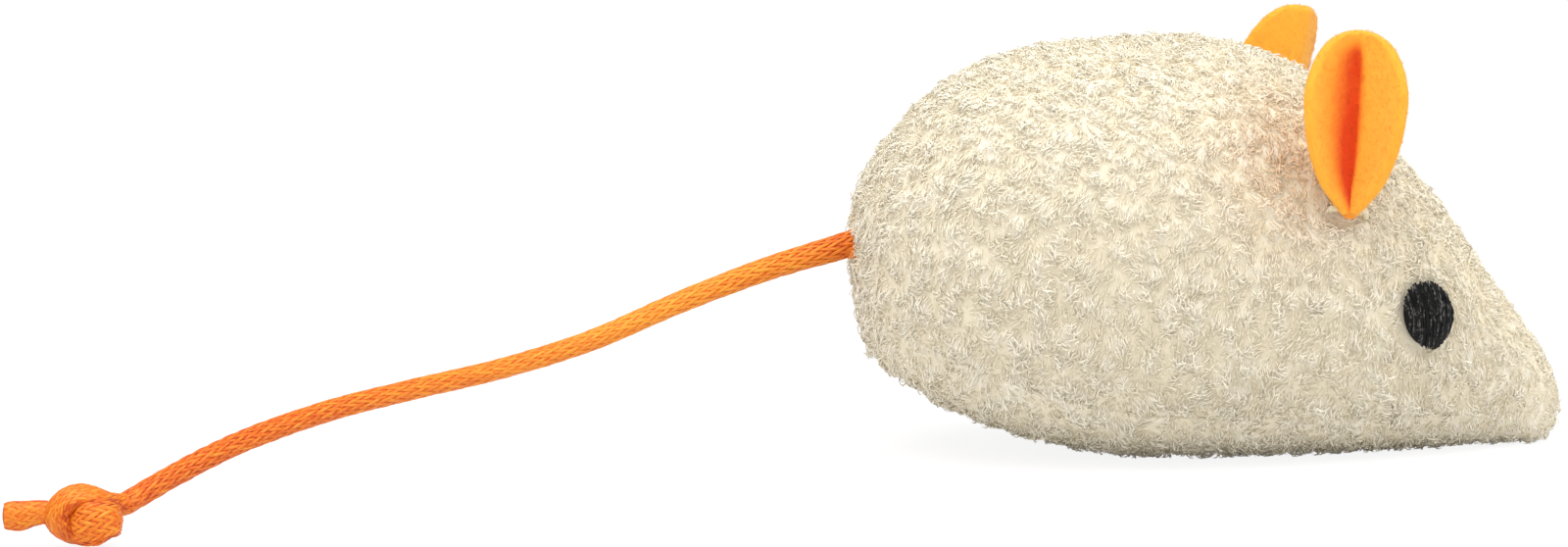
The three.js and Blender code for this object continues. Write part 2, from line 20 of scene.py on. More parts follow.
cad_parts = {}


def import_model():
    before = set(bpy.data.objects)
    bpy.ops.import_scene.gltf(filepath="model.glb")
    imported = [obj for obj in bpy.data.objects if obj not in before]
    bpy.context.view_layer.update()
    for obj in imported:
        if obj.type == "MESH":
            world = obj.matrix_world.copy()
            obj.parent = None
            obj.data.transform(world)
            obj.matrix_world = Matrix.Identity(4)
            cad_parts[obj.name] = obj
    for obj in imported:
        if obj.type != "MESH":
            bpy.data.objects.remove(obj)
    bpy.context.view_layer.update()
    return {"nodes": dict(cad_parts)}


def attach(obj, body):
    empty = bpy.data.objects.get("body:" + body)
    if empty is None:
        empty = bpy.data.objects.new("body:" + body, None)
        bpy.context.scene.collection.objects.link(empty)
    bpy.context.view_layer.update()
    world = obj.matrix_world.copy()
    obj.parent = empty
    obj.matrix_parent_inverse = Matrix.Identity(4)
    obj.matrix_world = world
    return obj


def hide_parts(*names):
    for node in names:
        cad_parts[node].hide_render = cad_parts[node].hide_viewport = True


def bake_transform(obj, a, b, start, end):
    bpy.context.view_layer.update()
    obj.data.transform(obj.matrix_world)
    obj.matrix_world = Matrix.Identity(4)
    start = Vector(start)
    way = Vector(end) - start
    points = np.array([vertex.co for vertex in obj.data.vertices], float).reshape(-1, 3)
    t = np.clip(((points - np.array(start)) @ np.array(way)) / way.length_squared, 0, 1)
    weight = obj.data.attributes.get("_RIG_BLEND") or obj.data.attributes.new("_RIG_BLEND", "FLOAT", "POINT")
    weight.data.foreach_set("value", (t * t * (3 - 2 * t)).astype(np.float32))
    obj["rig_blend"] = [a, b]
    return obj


LOG = logging.getLogger("toy_mouse")
MM = 0.001
WHITE = (1.0, 1.0, 1.0, 1.0)


class Side(Enum):
    """The mouse's own sides, with the sign of Y on each."""

    RIGHT = -1
    LEFT = 1

    @property
    def label(self) -> str:
        """The side's name as node names have it."""
        return self.name.lower()


# Meshes


def link(name: str, data: bpy.types.ID) -> bpy.types.Object:
    """Puts data in the scene as an object at the origin."""
    placed = bpy.data.objects.new(name, data)
    bpy.context.scene.collection.objects.link(placed)
    return placed


def mesh_object(name: str, points: np.ndarray, faces: Sequence[Sequence[int]]) -> bpy.types.Object:
    """Makes a mesh object at the origin.

    Args:
        name: The piece's name.
        points: Its vertices, in millimetres.
        faces: The vertices of each face.

    Returns:
        The new object, shaded smooth.
    """
    mesh = bpy.data.meshes.new(name)
    mesh.from_pydata((np.asarray(points, float) * MM).tolist(), [], [tuple(map(int, face)) for face in faces])
    mesh.validate()
    mesh.shade_smooth()
    return link(name, mesh)


def store(piece: bpy.types.Object, name: str, values: Any, domain: str = "POINT") -> None:
    """Stores a number or a vector for each vertex or face of a piece.

    Args:
        piece: A mesh object.
        name: The attribute's name.
        values: The numbers or vectors, in the order of its vertices or faces.
        domain: POINT for vertices, FACE for faces.
    """
    rows = np.asarray(values, np.float32)
    kind, slot = ("FLOAT", "value") if rows.ndim == 1 else ("FLOAT_VECTOR", "vector")
    piece.data.attributes.new(name, kind, domain).data.foreach_set(slot, rows.ravel())


def log_triangles(*pieces: bpy.types.Object) -> None:
    """Logs how many triangles each mesh object's own mesh has."""
    for piece in pieces:
        LOG.info("%s: %d triangles", piece.name, sum(len(face.vertices) - 2 for face in piece.data.polygons))


# Lines and curves


def hermite(part: Any, start: Any, end: Any, leaving: Any, arriving: Any) -> Any:
    """A smooth way from start to end with its slopes at both, read at a part of the way."""
    square, cube = part**2, part**3
    ends = (2 * cube - 3 * square + 1) * start + (3 * square - 2 * cube) * end
    return ends + (cube - 2 * square + part) * leaving + (cube - square) * arriving


def monotone(places: np.ndarray, values: np.ndarray, at: np.ndarray) -> np.ndarray:
    """A smooth curve through values that never overshoots them, read at some places."""
    steps = np.diff(values) / np.diff(places)
    product = steps[:-1] * steps[1:]
    inner = np.where(product > 0, 2 * product / (steps[:-1] + steps[1:] + 1e-12), 0)
    slopes = np.concatenate([[steps[0]], inner, [steps[-1]]])
    first = np.clip(np.searchsorted(places, at, side="right") - 1, 0, len(places) - 2)
    width = places[first + 1] - places[first]
    part = (np.asarray(at) - places[first]) / width
    return hermite(part, values[first], values[first + 1], width * slopes[first], width * slopes[first + 1])


def smoothstep(value: np.ndarray | float, low: float, high: float) -> np.ndarray:
    """Rises smoothly from 0 at low to 1 at high."""
    share = np.clip((np.asarray(value, float) - low) / (high - low), 0, 1)
    return share * share * (3 - 2 * share)


def lengths_along(line: np.ndarray) -> np.ndarray:
    """How far along a line each of its points lies."""
    return np.concatenate([[0], np.cumsum(np.linalg.norm(np.diff(line, axis=0), axis=1))])


def length_of(line: np.ndarray) -> float:
    """A line's length."""
    return float(lengths_along(line)[-1])


def spread(line: np.ndarray, count: int) -> np.ndarray:
    """A number of points, spaced evenly along a line."""
    lengths = lengths_along(line)
    places = np.linspace(0, lengths[-1], count)
    return np.stack([np.interp(places, lengths, line[:, axis]) for axis in range(3)], -1)


def even(line: np.ndarray, spacing: float) -> np.ndarray:
    """A line's points, spaced evenly at about a distance."""
    return spread(line, max(int(length_of(line) / spacing), 2) + 1)


def through(points: Sequence[Sequence[float]], spacing: float) -> np.ndarray:
    """A centripetal curve through points, as evenly spaced points.

    Args:
        points: The points that it passes.
        spacing: The distance between the points it returns, about.

    Returns:
        The points of the curve.
    """
    held = np.array(points, float)
    held = np.vstack([2 * held[0] - held[1], held, 2 * held[-1] - held[-2]])
    fine = []
    for first in range(len(held) - 3):
        row = held[first : first + 4]
        knots = centripetal_knots(row)
        for t in np.linspace(knots[1], knots[2], 40, endpoint=first == len(held) - 4):
            fine.append(blossom(row, knots, t))
    return even(np.array(fine), spacing)


def centripetal_knots(row: np.ndarray) -> np.ndarray:
    """The curve's knots at its points: sums of the square roots of the distances between them."""
    return np.concatenate([[0], np.cumsum(np.linalg.norm(np.diff(row, axis=0), axis=1) ** 0.5)])


def blossom(row: Sequence[np.ndarray], knots: np.ndarray, t: float) -> np.ndarray:
    """A point between the middle two of four points, by repeated mixing of neighbours."""
    for low, high in ((knots[:3], knots[1:]), (knots[:2], knots[2:]), (knots[1:2], knots[2:3])):
        pairs = zip(row, row[1:], low, high)
        row = [((end - t) * near + (t - start) * far) / (end - start) for near, far, start, end in pairs]
    return row[0]


# Node trees


def linear(code: str) -> tuple[float, float, float, float]:
    """Turns an sRGB colour to linear light.

    Args:
        code: The colour as #rrggbb.

    Returns:
        Red, green, blue and an alpha of 1.
    """
    parts = [int(code[at : at + 2], 16) / 255 for at in (1, 3, 5)]
    red, green, blue = (c / 12.92 if c <= 0.04045 else ((c + 0.055) / 1.055) ** 2.4 for c in parts)
    return red, green, blue, 1.0


def add(
    tree: bpy.types.NodeTree, kind: str, inputs: dict[Any, Any] | None = None, **settings: Any
) -> bpy.types.Node:
    """Adds a node with its settings and links.

    Args:
        tree: The tree to add it to.
        kind: Blender's name of the node's type.
        inputs: Socket name or number to a plain value or to a value in the tree.
        settings: The node's own settings.

    Returns:
        The new node.
    """
    node = tree.nodes.new(kind)
    for name, value in settings.items():
        setattr(node, name, value)
    for key, value in (inputs or {}).items():
        if isinstance(value, Value):
            tree.links.new(value.socket, node.inputs[key])
        else:
            node.inputs[key].default_value = value
    return node


@dataclass(frozen=True, eq=False)
class Value:
    """What a node puts out. Numbers and vectors can be reckoned with, which adds the nodes for it."""

    tree: bpy.types.NodeTree
    socket: bpy.types.NodeSocket

    def out(self, key: str | int) -> Value:
        """Another output of the same node."""
        return Value(self.tree, self.socket.node.outputs[key])

    def reckon(self, operation: str, first: Any, second: Any) -> Value:
        """Adds the node for an operation on two values, of which one is this."""
        wide = [
            isinstance(value, tuple) or isinstance(value, Value) and value.socket.type in {"VECTOR", "RGBA"}
            for value in (first, second)
        ]
        kind, inputs = ("ShaderNodeVectorMath" if any(wide) else "ShaderNodeMath"), {0: first, 1: second}
        if operation == "MULTIPLY" and wide == [True, False]:
            operation, inputs = "SCALE", {0: first, "Scale": second}
        return Value(self.tree, add(self.tree, kind, inputs, operation=operation).outputs[0])

    def __add__(self, other: Any) -> Value:
        """This and another."""
        return self.reckon("ADD", self, other)

    def __sub__(self, other: Any) -> Value:
        """This less another."""
        return self.reckon("SUBTRACT", self, other)

    def __rsub__(self, other: Any) -> Value:
        """Another less this."""
        return self.reckon("SUBTRACT", other, self)

    def __mul__(self, other: Any) -> Value:
        """This times another."""
        return self.reckon("MULTIPLY", self, other)

    def __truediv__(self, other: Any) -> Value:
        """This by another."""
        return self.reckon("DIVIDE", self, other)

    def __rtruediv__(self, other: Any) -> Value:
        """Another by this."""
        return self.reckon("DIVIDE", other, self)

    def __gt__(self, other: Any) -> Value:
        """1 where this is more than another, else 0."""
        return self.reckon("GREATER_THAN", self, other)

    def __lt__(self, other: Any) -> Value:
        """1 where this is less than another, else 0."""
        return self.reckon("LESS_THAN", self, other)


@dataclass
class Graph:
    """A node tree in the making."""

    name: str
    tree: bpy.types.NodeTree = field(init=False)

    def put(self, kind: str, inputs: dict[Any, Any] | None = None, **settings: Any) -> Value:
        """Adds a node and gives its first output."""
        return Value(self.tree, add(self.tree, kind, inputs, **settings).outputs[0])

    def math(self, operation: str, *values: Any) -> Value:
        """A number worked out from others."""
        return self.put("ShaderNodeMath", dict(enumerate(values)), operation=operation)

    def xyz(self, x: Any, y: Any, z: Any) -> Value:
        """A vector put together from three numbers."""
        return self.put("ShaderNodeCombineXYZ", {0: x, 1: y, 2: z})

    def noise(self, place: Value, scale: Any, detail: float, **more: float) -> Value:
        """Noise at a place."""
        return self.put("ShaderNodeTexNoise", {"Vector": place, "Scale": scale, "Detail": detail, **more})


@dataclass
class Recipe(Graph):
    """A Geometry Nodes tree with named inputs.

    Args:
        name: The tree's name.
        sizes: Type to the names of the inputs of that type, the geometry and the finish apart.
    """

    sizes: dict[str, str]
    sockets: dict[str, str] = field(init=False, default_factory=dict)
    entry: bpy.types.Node = field(init=False)

    def __post_init__(self) -> None:
        """Makes the empty tree and its sockets."""
        self.tree = bpy.data.node_groups.new(self.name, "GeometryNodeTree")
        interface = self.tree.interface
        interface.new_socket("Geometry", in_out="INPUT", socket_type="NodeSocketGeometry")
        for kind, labels in {**self.sizes, "Material": "Finish"}.items():
            for label in labels.split(", "):
                socket = interface.new_socket(label, in_out="INPUT", socket_type=f"NodeSocket{kind}")
                self.sockets[label] = socket.identifier
        interface.new_socket("Geometry", in_out="OUTPUT", socket_type="NodeSocketGeometry")
        self.entry = self.tree.nodes.new("NodeGroupInput")

    def size(self, label: str) -> Value:
        """A named input."""
        return Value(self.tree, self.entry.outputs[label])

    def vector(self, operation: str, *values: Any) -> Value:
        """A vector worked out from others."""
        return self.put("ShaderNodeVectorMath", dict(enumerate(values)), operation=operation)

    def apart(self, vector: Value) -> tuple[Value, Value, Value]:
        """A vector's three numbers."""
        x = self.put("ShaderNodeSeparateXYZ", {0: vector})
        return x, x.out(1), x.out(2)

    def random(self, low: Any, high: Any, shift: int) -> Value:
        """A number at random for each element, with a fixed seed."""
        inputs = {2: low, 3: high, 8: self.size("Seed") + float(shift)}
        return self.put("FunctionNodeRandomValue", inputs, data_type="FLOAT").out(1)

    def named(self, name: str, kind: str = "FLOAT") -> Value:
        """What the geometry stores under a name."""
        return self.put("GeometryNodeInputNamedAttribute", {"Name": name}, data_type=kind).out("Attribute")

    def keep(
        self, geometry: Value, name: str, value: Any, domain: str = "POINT", kind: str = "FLOAT"
    ) -> Value:
        """Stores a value in the geometry under a name."""
        inputs = {"Geometry": geometry, "Name": name, "Value": value}
        return self.put("GeometryNodeStoreNamedAttribute", inputs, data_type=kind, domain=domain)

    def sample(self, curve: Value, length: Value, value: Value, kind: str = "FLOAT") -> Value:
        """Reads a value on a curve at a length along it."""
        inputs = {"Curves": curve, "Length": length, "Value": value}
        return self.put("GeometryNodeSampleCurve", inputs, mode="LENGTH", data_type=kind).out("Value")

    def shape(self, label: str) -> Value:
        """The geometry of the object that an input names."""
        inputs = {"Object": self.size(label)}
        return self.put("GeometryNodeObjectInfo", inputs, transform_space="ORIGINAL").out("Geometry")

    def stand(self, points: Value, instance: Value, **more: Value) -> Value:
        """Stands an instance on each point."""
        return self.put("GeometryNodeInstanceOnPoints", {"Points": points, "Instance": instance, **more})

    def join(self, *parts: Value) -> Value:
        """Joins geometries to one."""
        joined = self.put("GeometryNodeJoinGeometry")
        for part in parts:
            self.tree.links.new(part.socket, joined.socket.node.inputs[0])
        return joined

    def circle(self, resolution: int, radius: Any) -> Value:
        """A circle to sweep along a curve."""
        return self.put("GeometryNodeCurvePrimitiveCircle", {"Resolution": resolution, "Radius": radius})

    def sweep(self, curve: Value, profile: Value, girth: Any = 1.0) -> Value:
        """Sweeps a profile along a curve, scaled by a girth at each point, with closed ends."""
        sized = self.put("GeometryNodeSetCurveRadius", {"Curve": curve, "Radius": girth})
        inputs = {"Curve": sized, "Profile Curve": profile, "Fill Caps": True}
        return self.put("GeometryNodeCurveToMesh", inputs)

    def lift(self, geometry: Value, floor: Value) -> Value:
        """Lifts what lies below a floor on to it."""
        x, y, z = self.apart(self.put("GeometryNodeInputPosition"))
        place = self.xyz(x, y, self.math("MAXIMUM", z, floor))
        return self.put("GeometryNodeSetPosition", {"Geometry": geometry, "Position": place})

    def close(self, geometry: Value) -> None:
        """Ends the tree in real, dressed geometry."""
        real = self.put("GeometryNodeRealizeInstances", {0: geometry})
        dressed = self.put("GeometryNodeSetMaterial", {"Geometry": real, "Material": self.size("Finish")})
        add(self.tree, "NodeGroupOutput", {0: self.put("GeometryNodeSetShadeSmooth", {"Geometry": dressed})})

    def make(
        self, name: str, base: bpy.types.Object | None, finish: bpy.types.Material, **values: Any
    ) -> bpy.types.Object:
        """Runs the tree and keeps its result as a plain mesh.

        Args:
            name: The new piece's name.
            base: The object whose geometry it starts from, or None for none.
            finish: The piece's material.
            values: Value of each input, with _ for a space in its name.

        Returns:
            The new object, at the origin and without modifiers.
        """
        source = base or mesh_object(f"{name}.seed", np.zeros((0, 3)), [])
        modifier = source.modifiers.new(self.name, "NODES")
        modifier.node_group = self.tree
        for label, value in {**values, "Finish": finish}.items():
            modifier[self.sockets[label.replace("_", " ")]] = value
        evaluated = source.evaluated_get(bpy.context.evaluated_depsgraph_get())
        mesh = bpy.data.meshes.new_from_object(evaluated)
        mesh.name = name
        source.modifiers.remove(modifier)
        if base is None:
            bpy.data.objects.remove(source)
        return link(name, mesh)


@dataclass
class Finish(Graph):
    """A material in the making."""

    material: bpy.types.Material = field(init=False)

    def __post_init__(self) -> None:
        """Makes the material and its empty tree."""
        self.material = bpy.data.materials.new(self.name)
        self.material.use_nodes = True
        self.tree = self.material.node_tree
        self.tree.nodes.clear()

    def stored(self, name: str) -> Value:
        """The number that a piece's mesh stores under a name."""
        return self.put("ShaderNodeAttribute", attribute_name=name).out("Fac")

    def grain(self, size: float, detail: float, **more: float) -> Value:
        """Noise of a size in millimetres, fixed to the piece."""
        place = self.put("ShaderNodeTexCoord").out("Object")
        return self.noise(place, 1 / (size * MM), detail, **more)

    def ramp(self, value: Value, stops: Sequence[tuple[float, str]]) -> Value:
        """A colour for each value.

        Args:
            value: What drives it.
            stops: Place and sRGB colour of the first stop, the last one and the ones between.

        Returns:
            The colour.
        """
        colour = self.put("ShaderNodeValToRGB", {0: value})
        elements = colour.socket.node.color_ramp.elements
        for index, (place, code) in enumerate(stops):
            element = elements[index] if index < 2 else elements.new(place)
            element.position = place
            element.color = linear(code)
        return colour

    def relief(self, height: Value, strength: float, depth: float) -> Value:
        """Fine relief, with its depth in millimetres."""
        return self.put("ShaderNodeBump", {"Height": height, "Strength": strength, "Distance": depth * MM})

    def done(self, colour: Value, inputs: dict[str, Any]) -> bpy.types.Material:
        """Ends the material in a shader of a colour."""
        return self.show(self.put("ShaderNodeBsdfPrincipled", {"Base Color": colour, **inputs}))

    def show(self, surface: Value) -> bpy.types.Material:
        """Ends the material in a surface."""
        add(self.tree, "ShaderNodeOutputMaterial", {"Surface": surface})
        return self.material


# Finishes


@dataclass(frozen=True)
class CreamPile:
    """Polyester pile, knitted and brushed: cream, matt and soft, with painted shade making it warmer deep in
    the pile and between tufts.
    """

    # Colours from the roots to the tips: the darker, warmer ones lower down are painted shade deep in the pile
    root: str = "#f2e8d0"
    middle: str = "#f8f0dc"
    tip: str = "#fcf5e4"
    # Painted reflection: the warm orange that the ears cast on the pile near them
    glow: str = "#ffd2a4"
    # What a strand's height, its tuft's height and its own tone add to how pale it is; the first two paint
    # shade low in the pile and in the creases between tufts
    by_height: float = 0.3
    by_tuft: float = 0.6
    by_tone: float = 0.05

    def material(self) -> bpy.types.Material:
        """Makes the finish, which reads how high a point lies on its strand and tuft and paints shade where it
        lies low, with the ears' painted reflection where it is stored.
        """
        made = Finish("cream_pile")
        # Painted shade: lower on the strand and lower in its tuft reads darker and warmer
        raised = made.stored("along") * self.by_height + 0.08
        level = made.stored("tone") * self.by_tone + (made.stored("tuft") * self.by_tuft + raised)
        colour = made.ramp(level, [(0.12, self.root), (0.95, self.tip), (0.5, self.middle)])
        # Painted reflection of the ears, multiplied over the colour where the pile stores it
        glow = {0: made.stored("glow"), 6: colour, 7: linear(self.glow)}
        lit = made.put("ShaderNodeMix", glow, data_type="RGBA", blend_type="MULTIPLY").out(2)
        soft = {"Roughness": 0.95, "Sheen Weight": 0.08, "Sheen Roughness": 0.6, "Specular IOR Level": 0.2}
        return made.done(lit, soft)


@dataclass(frozen=True)
class CreamGround:
    """The pile's knitted ground with the lowest fibres, seen between the tufts: dull and cream."""

    # From the creases to the tops of the tufts: the darker low colour is painted shade in the creases
    low: str = "#ece2ca"
    high: str = "#f7f0e0"

    def material(self) -> bpy.types.Material:
        """Makes the finish, with painted shade darkening the creases between tufts, and fibrous all over."""
        made = Finish("cream_ground")
        fibres = made.grain(0.12, 4.0)
        colour = made.ramp(fibres * 0.35 + made.stored("tuft"), [(0.15, self.low), (1.0, self.high)])
        dull = {"Roughness": 1.0, "Specular IOR Level": 0.15, "Normal": made.relief(fibres, 0.6, 0.1)}
        return made.done(colour, dull)


@dataclass(frozen=True)
class OrangeFelt:
    """Pressed polyester felt, dyed through: matt and fibrous, with painted shade and painted orange reflection
    making it redder in the fold.
    """

    rim: str = "#fbb038"
    face: str = "#fb9a2b"
    # The fold colour is painted shade and painted orange reflection, for the fold and the gathered root
    fold: str = "#e14409"

    def material(self) -> bpy.types.Material:
        """Makes the finish, which reads how much painted shade of the fold a point gets."""
        made = Finish("orange_felt")
        fibres = made.grain(0.25, 5.0, Roughness=0.65, Distortion=0.8)
        clouds = made.grain(2.0, 2.0)
        level = clouds * 0.12 + (fibres * 0.16 + made.stored("depth"))
        colour = made.ramp(level, [(0.14, self.rim), (1.0, self.fold), (0.5, self.face)])
        matt = {"Roughness": 0.95, "Sheen Weight": 0.2, "Specular IOR Level": 0.2}
        return made.done(colour, {**matt, "Normal": made.relief(fibres, 0.55, 0.12)})


@dataclass(frozen=True)
class BlackStitch:
    """Twisted rayon embroidery thread, dyed black, with soft grey highlights painted in flecks along the
    stitches.
    """

    deep: str = "#030303"
    high: str = "#0e0e0e"
    # Painted highlight: the grey on the palest parts of the stitches
    shine: str = "#605e5c"

    def material(self) -> bpy.types.Material:
        """Makes the finish, uneven from thread to thread, with painted highlights where it is palest and the
        thread's twist as relief.
        """
        made = Finish("black_stitch")
        twist = made.grain(0.3, 3.0)
        uneven = twist * 0.8 + made.stored("tone") * 0.5
        colour = made.ramp(uneven, [(0.4, self.deep), (0.97, self.shine), (0.82, self.high)])
        satin = {"Roughness": 0.45, "Specular IOR Level": 0.22, "Normal": made.relief(twist, 0.5, 0.05)}
        return made.done(colour, satin)


@dataclass(frozen=True)
class SatinBraid:
    """Bright rayon filaments, braided: glossy yellow-orange streaks, partly the filaments' grain and partly
    painted highlight, and painted red-brown shade where strands part and pass under.
    """

    # From the painted shade where strands pass under, through the sides, to the palest colour, which is partly
    # painted highlight
    under: str = "#8e2405"
    side: str = "#d95c08"
    top: str = "#f29d30"
    streak: float = 1.6
    # What each of these adds to how pale a point is: lift and edge paint shade where strands pass under and
    # part, shade paints light and shade along the cord, and streaks are partly the filaments' grain and partly
    # painted highlight
    by_streak: float = 1.1
    by_lift: float = 0.24
    by_edge: float = -0.26
    by_shade: float = 0.5
    by_tone: float = 0.1

    def material(self) -> bpy.types.Material:
        """Makes the finish, which reads a strand's lift, its painted paleness and the place across and along
        it, and paints shade and highlight from them.
        """
        made = Finish("satin_braid")
        across, tone = made.stored("across"), made.stored("tone")
        spot = made.xyz(across, made.stored("run") * (1 / (self.streak * MM)), tone * 40.0)
        lines = made.noise(spot, 1.9, 3.0, Roughness=0.6)
        rounded = across * across * self.by_edge + made.stored("lift") * self.by_lift
        shaded = made.stored("shade") * self.by_shade + (lines * self.by_streak + rounded)
        stops = [(0.16, self.under), (0.95, self.top), (0.5, self.side)]
        colour = made.ramp(tone * self.by_tone + shaded, stops)
        glossy = {"Roughness": 0.42, "Specular IOR Level": 0.3, "Normal": made.relief(lines, 0.5, 0.07)}
        return made.done(colour, glossy)


@dataclass(frozen=True)
class PlainFibre:
    """A fibre finish for what lies inside or between the visible pieces."""

    name: str
    low: str
    high: str
    grain: float
    roughness: float = 0.9

    def material(self) -> bpy.types.Material:
        """Makes the finish, mottled and fibrous at its own grain."""
        made = Finish(self.name)
        grain = made.grain(self.grain, 4.0, Roughness=0.6)
        colour = made.ramp(grain, [(0.3, self.low), (0.7, self.high)])
        return made.done(colour, {"Roughness": self.roughness, "Normal": made.relief(grain, 0.5, 0.1)})


@dataclass(frozen=True)
class PaperSweep:
    """White studio paper that shows plain white to the lens and keeps a faint shadow."""

    shown: float = 0.88
    kept: float = 0.16
    bounce: float = 0.74
    lit: float = 0.08

    def material(self) -> bpy.types.Material:
        """Makes the finish: paper to the light, near white to the lens and to reflections."""
        made = Finish("paper_sweep")
        path = made.put("ShaderNodeLightPath")
        seen = path.out("Is Camera Ray")
        for name in ("Is Glossy Ray", "Is Transmission Ray"):
            seen = made.math("MAXIMUM", seen, path.out(name))
        faces = []
        for grey, glow in ((self.bounce, self.lit), (self.kept, self.shown)):
            paper = made.put("ShaderNodeBsdfDiffuse", {"Color": (grey, grey, grey, 1)})
            light = made.put("ShaderNodeEmission", {"Color": WHITE, "Strength": glow})
            faces.append(made.put("ShaderNodeAddShader", {0: paper, 1: light}))
        return made.show(made.put("ShaderNodeMixShader", {0: seen, 1: faces[0], 2: faces[1]}))


# The stuffed body's shape


@dataclass(frozen=True)
class Section:
    """A section across the body: its widest level, its reach above and below that, and half its breadth."""

    middle: float
    above: float
    below: float
    half: float


@dataclass
class BodyShape:
    """The body as the frame has it, from rump to nose."""

    length: float = 70.0
    height: float = 39.6
    width: float = 37.0
    sag: float = 0.5
    back_roundness: float = 2.1
    belly_roundness: float = 2.7
    seam_rises: tuple[float, float, float] = (15.0, 5.0, 3.0)
    # Top, underside and widest level as shares of the height, and breadth as a share of the width
    outline_shares: tuple[tuple[float, float, float, float], ...] = (
        (0.52, 0.52, 0.52, 0.0),
        (0.69, 0.255, 0.49, 0.42),
        (0.855, 0.15, 0.47, 0.7),
        (0.965, 0.065, 0.45, 0.89),
        (1.0, 0.01, 0.43, 0.985),
        (1.0, 0.0, 0.41, 1.0),
        (0.895, 0.0, 0.37, 0.9),
        (0.65, 0.0, 0.3, 0.68),
        (0.393, 0.0, 0.2, 0.45),
        (0.22, 0.0, 0.12, 0.25),
        (0.11, 0.11, 0.11, 0.0),
    )

    def outline(self, share: float) -> np.ndarray:
        """The outline's four shares at a share of the way from rump to nose."""
        rows = np.array(self.outline_shares)
        mirrored = [(row[1], row[0], row[2], -row[3]) for row in (rows[1], rows[-2])]
        rows = np.vstack([mirrored[0], rows, mirrored[1]])
        place = min(max(share, 0.0), 1.0) * (len(rows) - 3)
        first = min(int(place), len(rows) - 4)
        before, start, end, after = rows[first : first + 4]
        return hermite(place - first, start, end, (end - before) / 2, (after - start) / 2)

    def section(self, share: float, inset: float) -> Section:
        """The section at a share, drawn in by an inset."""
        top, bottom, middle, breadth = self.outline(share)
        sag = self.sag * math.sin(math.pi * share)
        sizes = (top - middle) * self.height, (middle - bottom) * self.height + sag, breadth * self.width / 2
        above, below, half = (size * size / (size + inset) if size > 0 else 0.0 for size in sizes)
        return Section(middle * self.height, above, below, half)

    def along(self, share: float, inset: float) -> float:
        """The place along the body of a share."""
        return -(self.length / 2 - inset) * math.cos(math.pi * share)

    def share(self, along: float, inset: float) -> float:
        """The share of a place along the body."""
        return math.acos(min(max(-along / (self.length / 2 - inset), -1), 1)) / math.pi

    def seam_level(self, along: float) -> float:
        """The height of the seam between the sides and the belly."""
        rump, middle, nose = self.seam_rises
        share = along / (self.length / 2)
        return middle + ((rump if share < 0 else nose) - middle) * share * share

    def quarter(self, cut: Section, rise: float) -> tuple[float, float]:
        """How far a section reaches above or below its widest level, and how round it is there."""
        return (cut.above, self.back_roundness) if rise > 0 else (cut.below, self.belly_roundness)

    def ring(self, share: float, inset: float, angles: np.ndarray) -> np.ndarray:
        """Points of the section at some angles, counted from the mouse's left and up."""
        cut = self.section(share, inset)
        up, side = np.sin(angles), np.cos(angles)
        power = np.where(up > 0, 2 / self.back_roundness, 2 / self.belly_roundness)
        out = cut.half * np.sign(side) * np.abs(side) ** power
        level = cut.middle + np.where(up > 0, cut.above, cut.below) * np.sign(up) * np.abs(up) ** power
        return np.stack([np.full_like(out, self.along(share, inset)), out, level], -1)

    def seam_angle(self, share: float, inset: float) -> float:
        """The angle on the mouse's left at which the section crosses the belly seam."""
        cut = self.section(share, inset)
        rise = self.seam_level(self.along(share, inset)) - cut.middle
        reach, roundness = self.quarter(cut, rise)
        ratio = min(abs(rise) / max(reach, 1e-6), 1.0)
        return math.copysign(math.asin(ratio ** (roundness / 2)), rise)

    def side_at(self, along: float, level: float) -> float:
        """How far the outer surface reaches sideways at a place and a level."""
        cut = self.section(self.share(along, 0), 0)
        rise = level - cut.middle
        reach, roundness = self.quarter(cut, rise)
        return cut.half * (1 - min(abs(rise) / reach, 1) ** roundness) ** (1 / roundness)

    def place(self, side: Side, along: float, level: float) -> tuple[Vector, Vector]:
        """A place on the outer surface of a side.

        Args:
            side: The mouse's side.
            along: How far forward of the middle it is.
            level: Its height.

        Returns:
            The point and the outward direction there.
        """
        step = 0.3
        spots = (along, level), (along + step, level), (along, level + step)
        point, ahead, higher = (Vector((x, side.value * self.side_at(x, z), z)) for x, z in spots)
        outward = (ahead - point).cross(higher - point).normalized()
        return point, -outward if outward.y * side.value < 0 else outward


# The camera, the light and the floor


